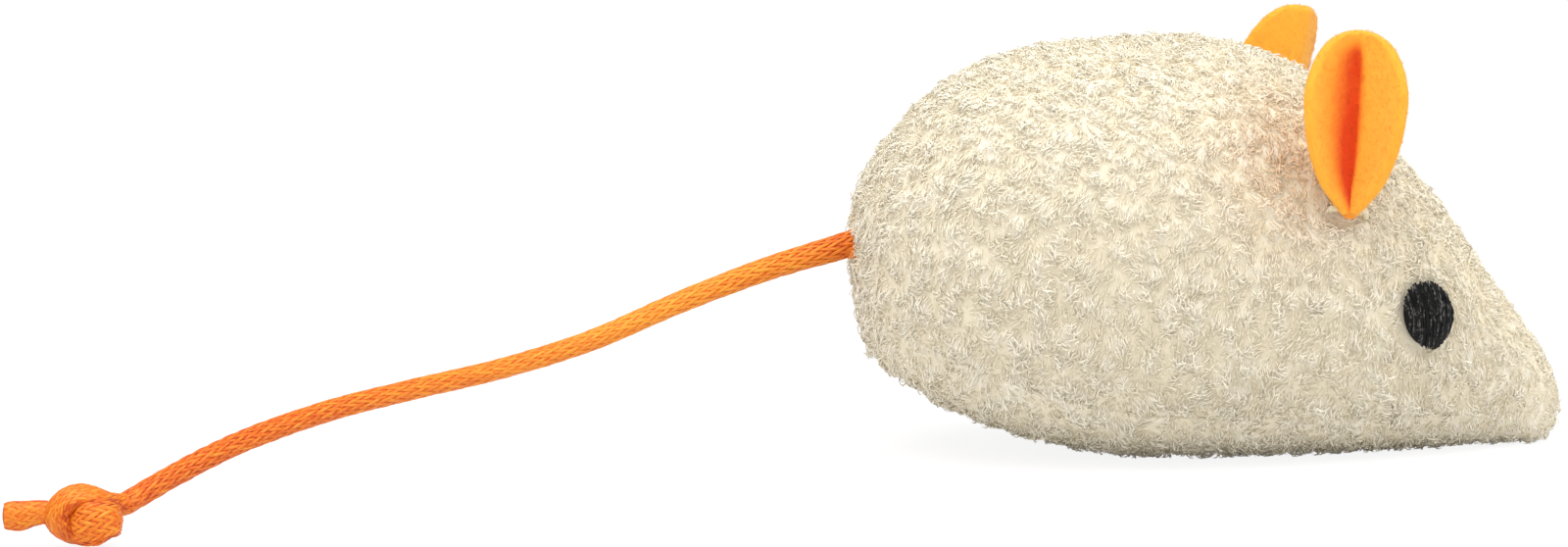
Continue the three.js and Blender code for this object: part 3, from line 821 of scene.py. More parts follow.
@dataclass
class Studio:
    """A white table with soft light, and the camera that the picture was taken with."""

    azimuth: float = -8.0
    elevation: float = 8.0
    distance: float = 600.0
    sensor: float = 36.0
    picture_width: float = 1600 * 0.0938
    aim_aside: float = -40.7
    aim_level: float = 16.7
    floor_half: float = 2500.0
    surroundings: float = 0.44
    lamp_aim: tuple[float, float, float] = (-10.0, 0.0, 15.0)
    # Each soft box's name, place, side and power
    lamps: tuple[tuple[str, tuple[float, float, float], float, float], ...] = (
        ("top_box", (-250, -250, 900), 900, 8.8),
        ("front_box", (-600, -900, 450), 700, 1.8),
        ("nose_box", (620, -380, 760), 600, 4.8),
    )

    @staticmethod
    def point(placed: bpy.types.Object, place: Vector, aim: Vector) -> None:
        """Puts a camera or lamp at a place and turns it to an aim, both in millimetres."""
        placed.location = place * MM
        placed.rotation_euler = (aim - place).to_track_quat("-Z", "Y").to_euler()

    def set_camera(self) -> None:
        """Makes the camera at the picture's angle."""
        data = bpy.data.cameras.new("camera")
        data.sensor_width = self.sensor
        data.lens = self.sensor * self.distance / self.picture_width
        data.clip_start, data.clip_end = 0.01, 20.0
        a, e = math.radians(self.azimuth), math.radians(self.elevation)
        aim = Vector((math.cos(a), math.sin(a), 0)) * self.aim_aside + Vector((0, 0, self.aim_level))
        back = Vector((math.sin(a) * math.cos(e), -math.cos(a) * math.cos(e), math.sin(e)))
        camera = link("camera", data)
        self.point(camera, aim + back * self.distance, aim)
        bpy.context.scene.camera = camera

    def light(self) -> None:
        """Sets the soft boxes, the pale surroundings and the floor."""
        for name, place, size, watts in self.lamps:
            data = bpy.data.lights.new(name, "AREA")
            data.shape = "SQUARE"
            data.size = size * MM
            data.energy = watts
            self.point(link(name, data), Vector(place), Vector(self.lamp_aim))
        world = bpy.data.worlds.new("pale_room")
        world.use_nodes = True
        pale = world.node_tree.nodes["Background"].inputs
        pale["Color"].default_value = WHITE
        pale["Strength"].default_value = self.surroundings
        bpy.context.scene.world = world
        bpy.context.scene.view_settings.view_transform = "Standard"
        corners = np.array([(-1, -1, 0), (1, -1, 0), (1, 1, 0), (-1, 1, 0)]) * self.floor_half
        floor = mesh_object("floor", corners, [(0, 1, 2, 3)])
        floor.data.materials.append(PaperSweep().material())


# The cord tail


@dataclass(frozen=True)
class Route:
    """A line that the braid follows, with what it stores at each of its points.

    Args:
        points: The points, in millimetres.
        facing: The direction that the cord's flat side faces.
        broad: The cord's breadth, as a share of its own.
        thin: Its thickness, likewise.
        shade: How much paler than plain it is painted, as light and shade along the cord.
    """

    points: np.ndarray
    facing: np.ndarray
    broad: np.ndarray
    thin: np.ndarray
    shade: np.ndarray

    def draw(self, name: str) -> bpy.types.Object:
        """Makes the line as a mesh without faces."""
        mesh = bpy.data.meshes.new(name)
        edges = [(at, at + 1) for at in range(len(self.points) - 1)]
        mesh.from_pydata((self.points * MM).tolist(), edges, [])
        line = link(name, mesh)
        for label in ("broad", "thin", "shade", "facing"):
            store(line, label, getattr(self, label))
        return line


def braid_recipe() -> Recipe:
    """A tree that braids strands round a core along a route.

    Half of the strands turn one way and half the other. Each passes over two and under two, so that the
    floats on top lie in a V pattern. The route says at each point how broad and how thick the cord is.
    """
    sizes = "From, To, Pitch, Radius, Wave, Strand Width, Strand Thickness, Slack, Edge"
    made = Recipe("braid", {"Object": "Route", "Int": "Pairs, Steps, Seed", "Float": sizes})
    put, size, math_, vector = made.put, made.size, made.math, made.vector
    route = put("GeometryNodeMeshToCurve", {"Mesh": made.shape("Route")})
    # Straight strands, numbered and each with its own tone
    pairs = size("Pairs")
    rack = put("GeometryNodeMeshLine", {"Count": pairs * 2.0, "Offset": (0, 0, 0)})
    bar = put("GeometryNodeCurvePrimitiveLine", {"Start": (0, 0, 0), "End": (1, 0, 0)})
    fine = put("GeometryNodeResampleCurve", {"Curve": bar, "Count": size("Steps")})
    numbered = made.keep(made.stand(rack, fine), "strand", put("GeometryNodeInputIndex"), "INSTANCE")
    toned = made.keep(numbered, "tone", made.random(-1.0, 1.0, 1), "INSTANCE")
    loose = put("GeometryNodeRealizeInstances", {0: toned})
    # The way each turns, the angle that it has reached, and whether it floats on top there
    strand = made.named("strand")
    run = put("GeometryNodeSplineParameter").out("Factor") * (size("To") - size("From")) + size("From")
    second = strand > pairs - 0.5
    way = second * -2.0 + 1.0
    number = strand - second * pairs
    turn = run / size("Pitch")
    angle = (turn * way + number / pairs) * math.tau
    phase = number * 2.0 + (turn * (pairs * 2.0) * way - 0.5)
    wave = math_("COSINE", phase * (math.pi / 2)) * way
    floats = put("ShaderNodeClamp", {0: wave * 1.5, 1: -1.0, 2: 1.0})
    # The route there
    centre = made.sample(route, run, put("GeometryNodeInputPosition"), "FLOAT_VECTOR")
    facing = made.sample(route, run, made.named("facing", "FLOAT_VECTOR"), "FLOAT_VECTOR")
    broad, thin, shade = (made.sample(route, run, made.named(name)) for name in ("broad", "thin", "shade"))
    tangent = centre.out("Tangent")
    side = vector("NORMALIZE", vector("CROSS_PRODUCT", tangent, facing))
    upright = vector("CROSS_PRODUCT", side, tangent)
    # The strands round it
    cosine, sine = math_("COSINE", angle), math_("SINE", angle)
    # Painted shade: a strand stores a lower lift where it passes under and, on a flattened cord, near its
    # edges, and the finish paints it darker there
    edged = math_("POWER", math_("ABSOLUTE", sine), 10.0) * size("Edge")
    ran = made.keep(loose, "run", run)
    lifted = made.keep(ran, "lift", floats * 0.5 + 0.5 - edged)
    dyed = made.keep(lifted, "shade", shade)
    radius = floats * size("Wave") + size("Radius") + made.named("tone") * size("Slack")
    out = upright * (cosine * thin) + side * (sine * broad)
    spot = centre.out("Position") + out * radius
    laid = put("GeometryNodeSetPosition", {"Geometry": dyed, "Position": spot})
    normal = upright * (cosine / thin) + side * (sine / broad)
    faced = put("GeometryNodeSetCurveNormal", {"Curve": laid, "Normal": normal}, mode="FREE")
    wide, flat = cosine * broad, sine * thin
    room = math_("SQRT", wide * wide + flat * flat)
    oval = made.xyz(size("Strand Thickness"), size("Strand Width"), 1.0)
    profile = put("GeometryNodeTransform", {"Geometry": made.circle(7, 1.0), "Scale": oval})
    across = made.apart(put("GeometryNodeInputPosition"))[1] / size("Strand Width")
    woven = made.sweep(faced, made.keep(profile, "across", across), room)
    # The core inside them
    ends = {"Curve": route, 4: size("From"), 5: size("To")}
    core_line = put("GeometryNodeTrimCurve", ends, mode="LENGTH")
    core_girth = math_("MINIMUM", made.named("broad"), made.named("thin"))
    core = made.sweep(core_line, made.circle(10, size("Radius") * 0.85), core_girth)
    # The core stores a lift below that of most floats, so it is painted a little darker: painted shade under
    # the strands
    made.close(made.join(made.keep(core, "lift", 0.35), woven))
    return made


@dataclass(frozen=True)
class Weave:
    """How a stretch is braided: its pairs of strands, their pitch, wave and breadth, and the painted shade at
    its edges.
    """

    pairs: int
    pitch: float
    wave: float
    strand_width: float
    edge: float


@dataclass
class CordTail:
    """The satin cord from the rump to its knot and cut end."""

    diameter: float = 2.0
    cord_weave: Weave = Weave(pairs=18, pitch=31.0, wave=0.045, strand_width=0.185, edge=0.0)
    knot_weave: Weave = Weave(pairs=22, pitch=19.0, wave=0.018, strand_width=0.22, edge=0.9)
    strand_thickness: float = 0.11
    slack: float = 0.025
    step: float = 0.24
    # Painted light and shade: how pale the satin is painted at shares of the way from the rump to the knot
    paleness: tuple[tuple[float, float], ...] = (
        (0.0, -0.25),
        (0.08, 0.1),
        (0.28, 0.3),
        (0.6, -0.05),
        (0.9, -0.3),
    )
    # The painted paleness of the knot and the cut end, and the melted tip's own darker colour
    knot_paleness: float = -0.02
    tip_paleness: float = -0.35
    opening: float = 0.32
    opening_length: float = 11.0
    slimming: float = 0.04
    hidden_root: float = 3.2
    knot_start: float = 1.6
    bend: float = 14.0
    front: float = -8.0
    knot_centre: tuple[float, float, float] = (-108.5, -38.55, 2.8)
    route_points: tuple[tuple[float, float, float], ...] = (
        (-36.3, 0, 19.8),
        (-42.6, -1, 18.2),
        (-51.4, -3.5, 15.5),
        (-60.1, -7, 12.6),
        (-68.8, -11.2, 10.8),
        (-77.4, -16.1, 9.8),
        (-85.8, -21.5, 8.8),
        (-94.1, -27.4, 7.1),
        (-99.6, -31.6, 5.3),
        (-104.8, -35.7, 3.2),
    )
    # Stations of the knot and of the cut end, seen from the front: the place to the right, up and nearer, the
    # way that the cord's flat side faces, and its breadth and thickness
    knot_stations: tuple[tuple[float, ...], ...] = (
        (2.3, 0.62, -2.35, 0.0, 1.0, 0.1, 1.0, 1.0),
        (1.75, 1.2, -1.15, 0.25, 1.0, 0.1, 1.1, 0.8),
        (0.9, 1.8, -0.1, 0.2, 1.0, 0.3, 1.35, 0.68),
        (-0.4, 1.9, 0.45, -0.1, 0.9, 0.45, 1.45, 0.72),
        (-1.6, 1.3, 0.75, -0.55, 0.65, 0.65, 1.5, 0.74),
        (-2.25, 0.1, 0.9, -0.65, 0.1, 0.75, 1.45, 0.72),
        (-1.8, -1.15, 0.8, -0.5, -0.6, 0.6, 1.4, 0.68),
        (-0.75, -1.8, 0.2, -0.2, -1.0, 0.1, 1.3, 0.65),
        (0.05, -1.55, -0.8, -0.1, -0.75, -0.6, 1.35, 0.65),
        (0.85, -0.7, -1.3, 0.05, -0.2, -1.0, 1.9, 0.68),
        (2.2, -0.45, -0.95, 0.8, -0.1, -0.7, 1.65, 0.66),
        (2.8, -0.35, 0.2, 1.0, 0.1, 0.2, 1.55, 0.64),
        (2.15, -0.2, 1.1, 0.65, 0.15, 0.75, 1.8, 0.78),
        (0.95, -0.42, 1.5, 0.1, 0.12, 1.0, 2.15, 0.85),
        (-0.25, -0.65, 1.15, -0.2, 0.05, 1.0, 1.9, 0.8),
        (-1.3, -0.45, 0.45, -0.2, 0.1, 1.0, 1.25, 0.7),
        (-2.3, 0.05, -0.1, 0.0, 0.0, 1.0, 1.15, 0.72),
    )
    end_stations: tuple[tuple[float, ...], ...] = (
        (-2.6, 0.15, -0.1, 0.0, 0.0, 1.0, 1.08, 0.72),
        (-3.6, 0.25, -0.1, 0.0, 0.0, 1.0, 1.1, 0.75),
        (-4.6, 0.12, -0.1, 0.0, 0.0, 1.0, 1.2, 0.8),
        (-5.4, -0.05, -0.1, 0.0, 0.0, 1.0, 1.4, 0.82),
        (-6.3, -0.08, -0.1, 0.0, 0.0, 1.0, 1.34, 0.78),
        (-6.65, -0.08, -0.1, 0.0, 0.0, 1.0, 1.26, 0.7),
        (-6.9, -0.08, -0.1, 0.0, 0.0, 1.0, 1.15, 0.62),
    )
    # The melted tip that keeps the braid from fraying: its middle and half its size, right, up and nearer
    tip_centre: tuple[float, float, float] = (-6.84, -0.08, -0.1)
    tip_half: tuple[float, float, float] = (0.26, 1.03, 0.57)

    def strand(
        self, recipe: Recipe, name: str, route: bpy.types.Object, span: tuple[float, float], weave: Weave
    ) -> bpy.types.Object:
        """Braids one stretch.

        Args:
            recipe: The braid's tree.
            name: The piece's name.
            route: The line that it follows.
            span: Where on the line it starts and ends.
            weave: How it is braided.

        Returns:
            The stretch.
        """
        return recipe.make(
            name,
            None,
            SatinBraid().material(),
            Route=route,
            From=span[0] * MM,
            To=span[1] * MM,
            Pairs=weave.pairs,
            Steps=max(int((span[1] - span[0]) / self.step), 16),
            Pitch=weave.pitch * MM,
            Radius=(self.diameter / 2 - weave.wave - self.strand_thickness) * MM,
            Wave=weave.wave * MM,
            Strand_Width=weave.strand_width * MM,
            Strand_Thickness=self.strand_thickness * MM,
            Slack=self.slack * MM,
            Edge=weave.edge,
            Seed=3,
        )

    def axes(self) -> np.ndarray:
        """Right, up and nearer at the knot, as rows."""
        a = math.radians(self.front)
        return np.array([(math.cos(a), math.sin(a), 0), (0, 0, 1), (math.sin(a), -math.cos(a), 0)])

    def stretch(self, stations: Sequence[Sequence[float]], lead: Sequence[Sequence[float]] = ()) -> Route:
        """A smooth route through stations.

        Args:
            stations: The stations of the knot or the cut end.
            lead: Points in the frame's own axes that come before them, where the cord is round.

        Returns:
            The route.
        """
        axes, table = self.axes(), np.array(stations)
        round_rows = np.tile((0.0, 1.0, 0.0, 1.0, 1.0), (len(lead), 1))
        places = [*np.reshape(lead, (-1, 3)), *(self.knot_centre + table[:, :3] @ axes)]
        values = np.vstack([round_rows, table[:, 3:]])
        line = through(places, 0.12)
        nearest = [int(np.argmin(np.linalg.norm(line - place, axis=1))) for place in places]
        at = np.arange(len(line))
        columns = [np.interp(at, nearest, column) for column in values.T]
        facing = np.stack(columns[:3], -1) @ axes
        return Route(line, facing, columns[3], columns[4], np.full(len(line), self.knot_paleness))

    def melted_tip(self) -> bpy.types.Object:
        """Makes the flat bead where the cord's cut end was melted."""
        ball = bmesh.new()
        bmesh.ops.create_uvsphere(ball, u_segments=28, v_segments=9, radius=1.0)
        ball.verts.index_update()
        unit = np.array([(vertex.co.z, vertex.co.x, vertex.co.y) for vertex in ball.verts])
        faces = [[vertex.index for vertex in face.verts] for face in ball.faces]
        ball.free()
        points = (unit * self.tip_half + self.tip_centre) @ self.axes() + self.knot_centre
        tip = mesh_object("tail_melted_tip", points, faces)
        store(tip, "across", unit[:, 1] * 0.8)
        store(tip, "run", unit[:, 2] * MM)
        store(tip, "shade", np.full(len(unit), self.tip_paleness))
        tip.data.materials.append(SatinBraid().material())
        return tip

    def build(self) -> None:
        """Makes the two stretches, the knot and the cut end, and hangs them on their bodies."""
        tail = through(self.route_points, 0.4)
        root = tail[0] + (tail[0] - tail[3]) / np.linalg.norm(tail[0] - tail[3]) * self.hidden_root
        whole = even(np.vstack([[root], tail]), 0.4)
        total = length_of(whole)
        pivot = self.hidden_root + length_of(tail) / 2
        middle = pivot - self.bend / 2
        places = np.linspace(0, total, len(whole))
        girth = 1 + self.opening * np.exp(-places / self.opening_length)
        girth += self.slimming * np.cos(places / total * math.tau)
        facing = np.tile((0.0, 0.0, 1.0), (len(whole), 1))
        shares, tones = zip(*self.paleness)
        turns, cut = self.stretch(self.knot_stations, tail[[-9, -5, -1]]), self.stretch(self.end_stations)
        recipe = braid_recipe()
        # Painted light and shade along the tail
        shade = np.interp(places / total, shares, tones)
        route = Route(whole, facing, girth, girth, shade).draw("tail_route")
        knot_route, end_route = turns.draw("knot_route"), cut.draw("end_route")
        upper = self.strand(recipe, "tail_cord_upper", route, (0, middle), self.cord_weave)
        lower = self.strand(recipe, "tail_cord_lower", route, (middle, total), self.cord_weave)
        tied, free = (self.knot_start, length_of(turns.points)), (0, length_of(cut.points))
        knot = self.strand(recipe, "tail_knot_turns", knot_route, tied, self.knot_weave)
        end = self.strand(recipe, "tail_cut_end", end_route, free, self.knot_weave)
        for helper in (route, knot_route, end_route):
            bpy.data.objects.remove(helper)
        spots = middle, self.hidden_root + self.bend / 2, pivot + self.bend / 2
        split, leave, bent = (int(np.searchsorted(places, at)) for at in spots)
        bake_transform(upper, "mouse", "tail_upper", start=tuple(whole[0] * MM), end=tuple(whole[leave] * MM))
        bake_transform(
            lower, "tail_upper", "tail_lower", start=tuple(whole[split] * MM), end=tuple(whole[bent] * MM)
        )
        tip = self.melted_tip()
        for piece in (knot, end, tip):
            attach(piece, "tail_lower")
        nodes = {"tail_upper": upper, "tail_lower": lower, "tail_knot": knot, "tail_end": end}
        for node, piece in nodes.items():
            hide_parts(node)
        log_triangles(upper, lower, knot, end, tip)
        LOG.info("tail: %.1f mm of cord", total)


# The plush skin


def relief_recipe() -> Recipe:
    """A tree that raises a panel in tufts and makes it a closed shell.

    It stores how high each point lies in its tuft and which way its tuft draws it.
    """
    made = Recipe("relief", {"Float": "Tuft, Stretch, Height, Warp, Seam Depth, Lump, Thickness, Floor"})
    put, size = made.put, made.size
    place, normal = put("GeometryNodeInputPosition"), put("GeometryNodeInputNormal")
    # Tufts are cells of a pattern that is squeezed upward and warped
    swirl = made.noise(place, 0.55 / size("Tuft"), 2.0).out("Color") - (0.5, 0.5, 0.5)
    warped = place * made.xyz(1.0, 1.0, 1.0 / size("Stretch")) + swirl * size("Warp")
    cells = put("ShaderNodeTexVoronoi", {"Vector": warped, "Scale": 1.0 / size("Tuft")})
    slope = {0: cells.out("Distance"), 1: 0.72, 2: 0.12, 3: 0.0, 4: 1.0}
    tuft = put("ShaderNodeMapRange", slope, interpolation_type="SMOOTHSTEP") * made.named("growth")
    draw = (cells.out("Position") - warped) * made.xyz(1.0, 1.0, size("Stretch"))
    wavy = (made.noise(place, 110.0, 1.0) - 0.5) * size("Lump")
    level = tuft * size("Height") + wavy - made.named("seam") * size("Seam Depth")
    stored = made.keep(made.keep(size("Geometry"), "tuft", tuft), "draw", draw, kind="FLOAT_VECTOR")
    skin = put("GeometryNodeSetPosition", {"Geometry": stored, "Offset": normal * level})
    inward = normal * (size("Thickness") * -1.0)
    wall = put("GeometryNodeExtrudeMesh", {"Mesh": skin, "Offset": inward, "Individual": False})
    inside = made.keep(put("GeometryNodeFlipFaces", {"Mesh": wall}), "outer", 0.0, "FACE")
    shell = made.join(inside, made.keep(skin, "outer", 1.0, "FACE"))
    sewn = put("GeometryNodeMergeByDistance", {"Geometry": shell, "Distance": 0.001 * MM})
    made.close(made.lift(sewn, size("Floor")))
    return made


def pile_recipe() -> Recipe:
    """A tree that plants strands on a surface and lays them over, drawn together in its tufts."""
    sizes = "Density, Length, Girth, Tilt, Draw, Flow, Stray, From, To, Floor"
    made = Recipe("pile", {"Object": "Strand", "Vector": "Comb", "Float": sizes, "Int": "Seed"})
    put, size = made.put, made.size
    place, growth = put("GeometryNodeInputPosition"), made.named("growth")
    # Strands grow on the outside, between two places along the body
    along = made.apart(place)[0]
    inside = (along > size("From")) * (along < size("To"))
    sown = (growth > 0.15) * (made.named("outer") > 0.5) * inside
    soil = {"Mesh": size("Geometry"), "Density": sown * size("Density"), "Seed": size("Seed")}
    points = put("GeometryNodeDistributePointsOnFaces", soil, distribute_method="RANDOM")
    # Each leans with the comb, with broad currents, on its own and towards the middle of its tuft
    currents = made.noise(place, 330.0, 1.0).out("Color") - (0.5, 0.5, 0.5)
    any_way = {0: (-1, -1, -1), 1: (1, 1, 1), 8: size("Seed")}
    astray = put("FunctionNodeRandomValue", any_way, data_type="FLOAT_VECTOR")
    drift = currents * size("Flow") + size("Comb") + astray * size("Stray")
    lean = made.vector("NORMALIZE", drift + made.named("draw", "FLOAT_VECTOR") * size("Draw"))
    aim = points.out("Normal") + lean * size("Tilt")
    upright = put("FunctionNodeAlignRotationToVector", {"Vector": aim}, axis="Z")
    laid = {"Rotation": upright, "Vector": lean}
    turned = put("FunctionNodeAlignRotationToVector", laid, axis="X", pivot_axis="Z")
    grown = size("Length") * (growth * made.random(0.65, 1.25, 2))
    tall = grown * (made.named("tuft") * 0.3 + 0.7)
    scale = made.xyz(tall, size("Girth") * made.random(0.7, 1.3, 4), tall)
    planted = made.stand(points, made.shape("Strand"), Rotation=turned, Scale=scale)
    toned = made.keep(planted, "tone", made.random(-1.0, 1.0, 3), "INSTANCE")
    made.close(made.lift(put("GeometryNodeRealizeInstances", {0: toned}), size("Floor")))
    return made


@dataclass(frozen=True)
class Layer:
    """One kind of strand in the pile.

    Args:
        name: The kind's name.
        bow: How far over, how high and how thick a strand is at each ring from its root to its pointed tip.
        length: Its length.
        radius: Its radius.
        density: How many stand on a square millimetre.
        stray: How much each leans its own way.
        tilt: How far they all lean over.
        draw: How much their tuft draws them together.
        flow: How much they follow broad currents.
        comb: The way that they are combed.
    """

    name: str
    bow: tuple[tuple[float, float, float], ...]
    length: float
    radius: float
    density: float
    stray: float
    tilt: float = 0.52
    draw: float = 0.8
    flow: float = 3.0
    comb: tuple[float, float, float] = (-0.1, 0.0, -0.45)

    def strand(self) -> bpy.types.Object:
        """Makes one three-sided strand of length 1 that bends over to X and stores how far up each vertex is.

        Its thickness along X is true, and across it is 1, which the tree scales.
        """
        points, along = [], []
        last = len(self.bow) - 1
        for index, (over, high, thick) in enumerate(self.bow):
            before, after = self.bow[max(index - 1, 0)], self.bow[min(index + 1, last)]
            run, rise = after[0] - before[0], after[1] - before[1]
            steep = math.hypot(run, rise)
            for side in range(1 if index == last else 3):
                angle = math.tau * side / 3 + math.pi / 2
                out = thick * (self.radius / self.length) * math.cos(angle)
                points.append((over + out * rise / steep, thick * math.sin(angle), high - out * run / steep))
                along.append(index / last)
        faces = [
            (low + side, low + (side + 1) % 3, low + 3 + (side + 1) % 3, low + 3 + side)
            for low in range(0, 3 * last - 3, 3)
            for side in range(3)
        ]
        tip = 3 * last
        faces += [(tip - 3 + side, tip - 3 + (side + 1) % 3, tip) for side in range(3)]
        strand = mesh_object(self.name, np.array(points) / MM, faces)
        store(strand, "along", along)
        return strand

    def plant(
        self,
        pile: Recipe,
        name: str,
        ground: bpy.types.Object,
        finish: bpy.types.Material,
        span: tuple[float, float],
        floor: float,
        seed: int,
        share: float = 1.0,
        widening: float = 0.0,
    ) -> bpy.types.Object:
        """Grows the strands on a stretch of a surface.

        Args:
            pile: The tree that plants strands.
            name: The new piece's name.
            ground: The surface.
            finish: The strands' material.
            span: Where along the body the stretch starts and ends.
            floor: The level below which none may hang.
            seed: What their places are drawn from.
            share: The share of the kind's density that grows here.
            widening: The power of a lower share by which the fewer strands are broader.

        Returns:
            The strands.
        """
        strand = self.strand()
        share *= 1.0
        tufts = pile.make(
            name,
            ground,
            finish,
            Strand=strand,
            Density=self.density * share / MM**2,
            Length=self.length * MM,
            Girth=self.radius * share**-widening * MM,
            Tilt=self.tilt,
            Draw=self.draw / MM,
            Comb=self.comb,
            Flow=self.flow,
            Stray=self.stray,
            From=span[0] * MM,
            To=span[1] * MM,
            Floor=floor * MM,
            Seed=seed,
        )
        bpy.data.objects.remove(strand)
        return tufts


@dataclass
class PlushSkin:
    """The two sides and the belly, each with its ground and its pile.

    Args:
        body: The body's shape.
        bare_places: Each eye's own axes with its half width and half height, where no pile grows.
        glow_places: Each ear's warm reflection, painted on the pile: its centre, reach and strength.
    """

    body: BodyShape
    bare_places: list[tuple[Matrix, float, float]]
    glow_places: list[tuple[Vector, float, float]]
    # Each panel, with the seed of its first stretch
    panels: tuple[tuple[str, int], ...] = (
        ("right_side_panel", 11),
        ("left_side_panel", 18),
        ("belly_panel", 25),
    )
    inset: float = 0.75
    seam_reach: float = 0.8
    ground_thickness: float = 0.8
    tuft: float = 1.5
    stretch: float = 1.3
    tuft_height: float = 0.26
    warp: float = 1.2
    seam_depth: float = 0.03
    lump: float = 0.3
    stations: int = 190
    side_columns: int = 108
    belly_columns: int = 76
    side_cuts: tuple[float, ...] = (-40, -13, 9, 40)
    belly_cuts: tuple[float, ...] = (-40, 40)
    belly_share: float = 0.6
    # How deep a bare place reaches, and the shares of its size between which the pile begins
    bare_depth: float = 4
    bare_rim: tuple[float, float] = (0.93, 1.25)
    # Where the pile grows shorter towards the nose, and by how much
    nose: tuple[float, float] = (18, 34)
    nose_shortening: float = 0.25
    middle_level: float = 17
    lowest_ground: float = 0.3
    lowest_strand: float = 0.02
    # The power of a share of the strands by which the fewer ones are broader
    widening: float = 0.4
    curl: Layer = Layer(
        name="curl",
        bow=((0, 0, 0.8), (0.08, 0.36, 1), (0.38, 0.6, 1), (0.82, 0.62, 0)),
        length=1.1,
        radius=0.062,
        density=8.9,
        stray=0.5,
    )
    fibre: Layer = Layer(
        name="fibre",
        bow=((0, 0, 1), (0.2, 0.45, 0.85), (0.7, 0.74, 0)),
        length=1.15,
        radius=0.034,
        density=8.5,
        stray=0.6,
    )

    def panel_rows(self, panel: str) -> list[np.ndarray]:
        """A panel's rows of points across the body, all of one count, from rump to nose."""
        rows = []
        for station in range(self.stations + 1):
            share = station / self.stations
            seam = self.body.seam_angle(share, self.inset)
            low, high, count = {
                "belly_panel": (-math.pi - seam, seam, self.belly_columns),
                "left_side_panel": (seam, math.pi / 2, self.side_columns),
                "right_side_panel": (math.pi / 2, math.pi - seam, self.side_columns),
            }[panel]
            rows.append(spread(self.body.ring(share, self.inset, np.linspace(low, high, 500)), count))
        return rows

    def growth(self, points: np.ndarray) -> np.ndarray:
        """How long the pile grows at points: not on the eyes, and shorter on the nose."""
        growth = np.ones(len(points))
        for matrix, half_width, half_height in self.bare_places:
            local = (points - np.array(matrix.translation)) @ np.array(matrix.to_3x3())
            ratio = np.hypot(local[:, 0] / half_width, local[:, 1] / half_height)
            near = np.abs(local[:, 2]) < self.bare_depth
            growth = np.where(near, growth * smoothstep(ratio, *self.bare_rim), growth)
        return growth * (1 - self.nose_shortening * smoothstep(points[:, 0], *self.nose))

    def ground(self, panel: str) -> bpy.types.Object:
        """A panel's smooth ground, with what it stores about growth, seams and the ears' painted reflection."""
        rows = self.panel_rows(panel)
        count = len(rows[0])
        points = np.concatenate(rows)
        corners = (row * count + column for row in range(len(rows) - 1) for column in range(count - 1))
        faces = [(corner, corner + count, corner + count + 1, corner + 1) for corner in corners]
        piece = mesh_object(f"{panel}.smooth", points, faces)
        steps = np.array([lengths_along(row) for row in rows])
        edge = np.minimum(steps, steps[:, -1:] - steps)
        # Painted reflection: each ear's warm orange on the pile, fading with distance from a spot beside it
        glow = np.zeros(len(points))
        for centre, reach, strength in self.glow_places:
            far = np.linalg.norm(points - np.array(centre), axis=1)
            glow = np.maximum(glow, strength * np.exp(-((far / reach) ** 2)))
        store(piece, "growth", self.growth(points))
        store(piece, "seam", np.exp(-((edge.ravel() / self.seam_reach) ** 2)))
        store(piece, "glow", glow)
        built = bmesh.new()
        built.from_mesh(piece.data)
        bmesh.ops.remove_doubles(built, verts=built.verts, dist=0.02 * MM)
        bmesh.ops.dissolve_degenerate(built, edges=built.edges, dist=0.005 * MM)
        bmesh.ops.recalc_face_normals(built, faces=built.faces)
        built.to_mesh(piece.data)
        built.free()
        self.face_outward(piece.data)
        return piece

    def face_outward(self, mesh: bpy.types.Mesh) -> None:
        """Turns a panel's faces away from the middle of the body."""
        centre = Vector((0, 0, self.middle_level)) * MM
        if sum(face.area * (face.center - centre).dot(face.normal) for face in mesh.polygons) < 0:
            mesh.flip_normals()

    def build(self) -> None:
        """Makes each panel's ground and pile."""
        relief, pile = relief_recipe(), pile_recipe()
        ground_finish, pile_finish = CreamGround().material(), CreamPile().material()
        for panel, first_seed in self.panels:
            under = panel == "belly_panel"
            smooth = self.ground(panel)
            raised = relief.make(
                f"{panel}_ground",
                smooth,
                ground_finish,
                Tuft=self.tuft * MM,
                Stretch=self.stretch,
                Height=self.tuft_height * MM,
                Warp=self.warp * MM,
                Seam_Depth=self.seam_depth * MM,
                Lump=self.lump * MM,
                Thickness=self.ground_thickness * MM,
                Floor=self.lowest_ground * MM,
            )
            bpy.data.objects.remove(smooth)
            cuts = self.belly_cuts if under else self.side_cuts
            for layer in (self.curl, self.fibre):
                for seed, span in enumerate(zip(cuts, cuts[1:]), first_seed):
                    tufts = layer.plant(
                        pile,
                        f"{panel}_{layer.name}_{seed}",
                        raised,
                        pile_finish,
                        span,
                        self.lowest_strand,
                        seed,
                        self.belly_share if under else 1.0,
                        self.widening,
                    )
                    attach(tufts, "mouse")
                    log_triangles(tufts)
            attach(raised, "mouse")
            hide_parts(panel)
            log_triangles(raised)


# The felt ears


def own_axes(x: Vector, y: Vector, z: Vector, origin: Vector) -> Matrix:
    """The matrix from a piece's own axes to the frame's."""
    matrix = Matrix((x, y, z)).transposed().to_4x4()
    matrix.translation = origin
    return matrix


def settle(mesh: bpy.types.Mesh, matrix: Matrix) -> None:
    """Moves a mesh from its piece's own axes to its place, and shades it smooth."""
    placed = matrix.copy()
    placed.translation = matrix.translation * MM
    mesh.transform(placed)
    mesh.shade_smooth()


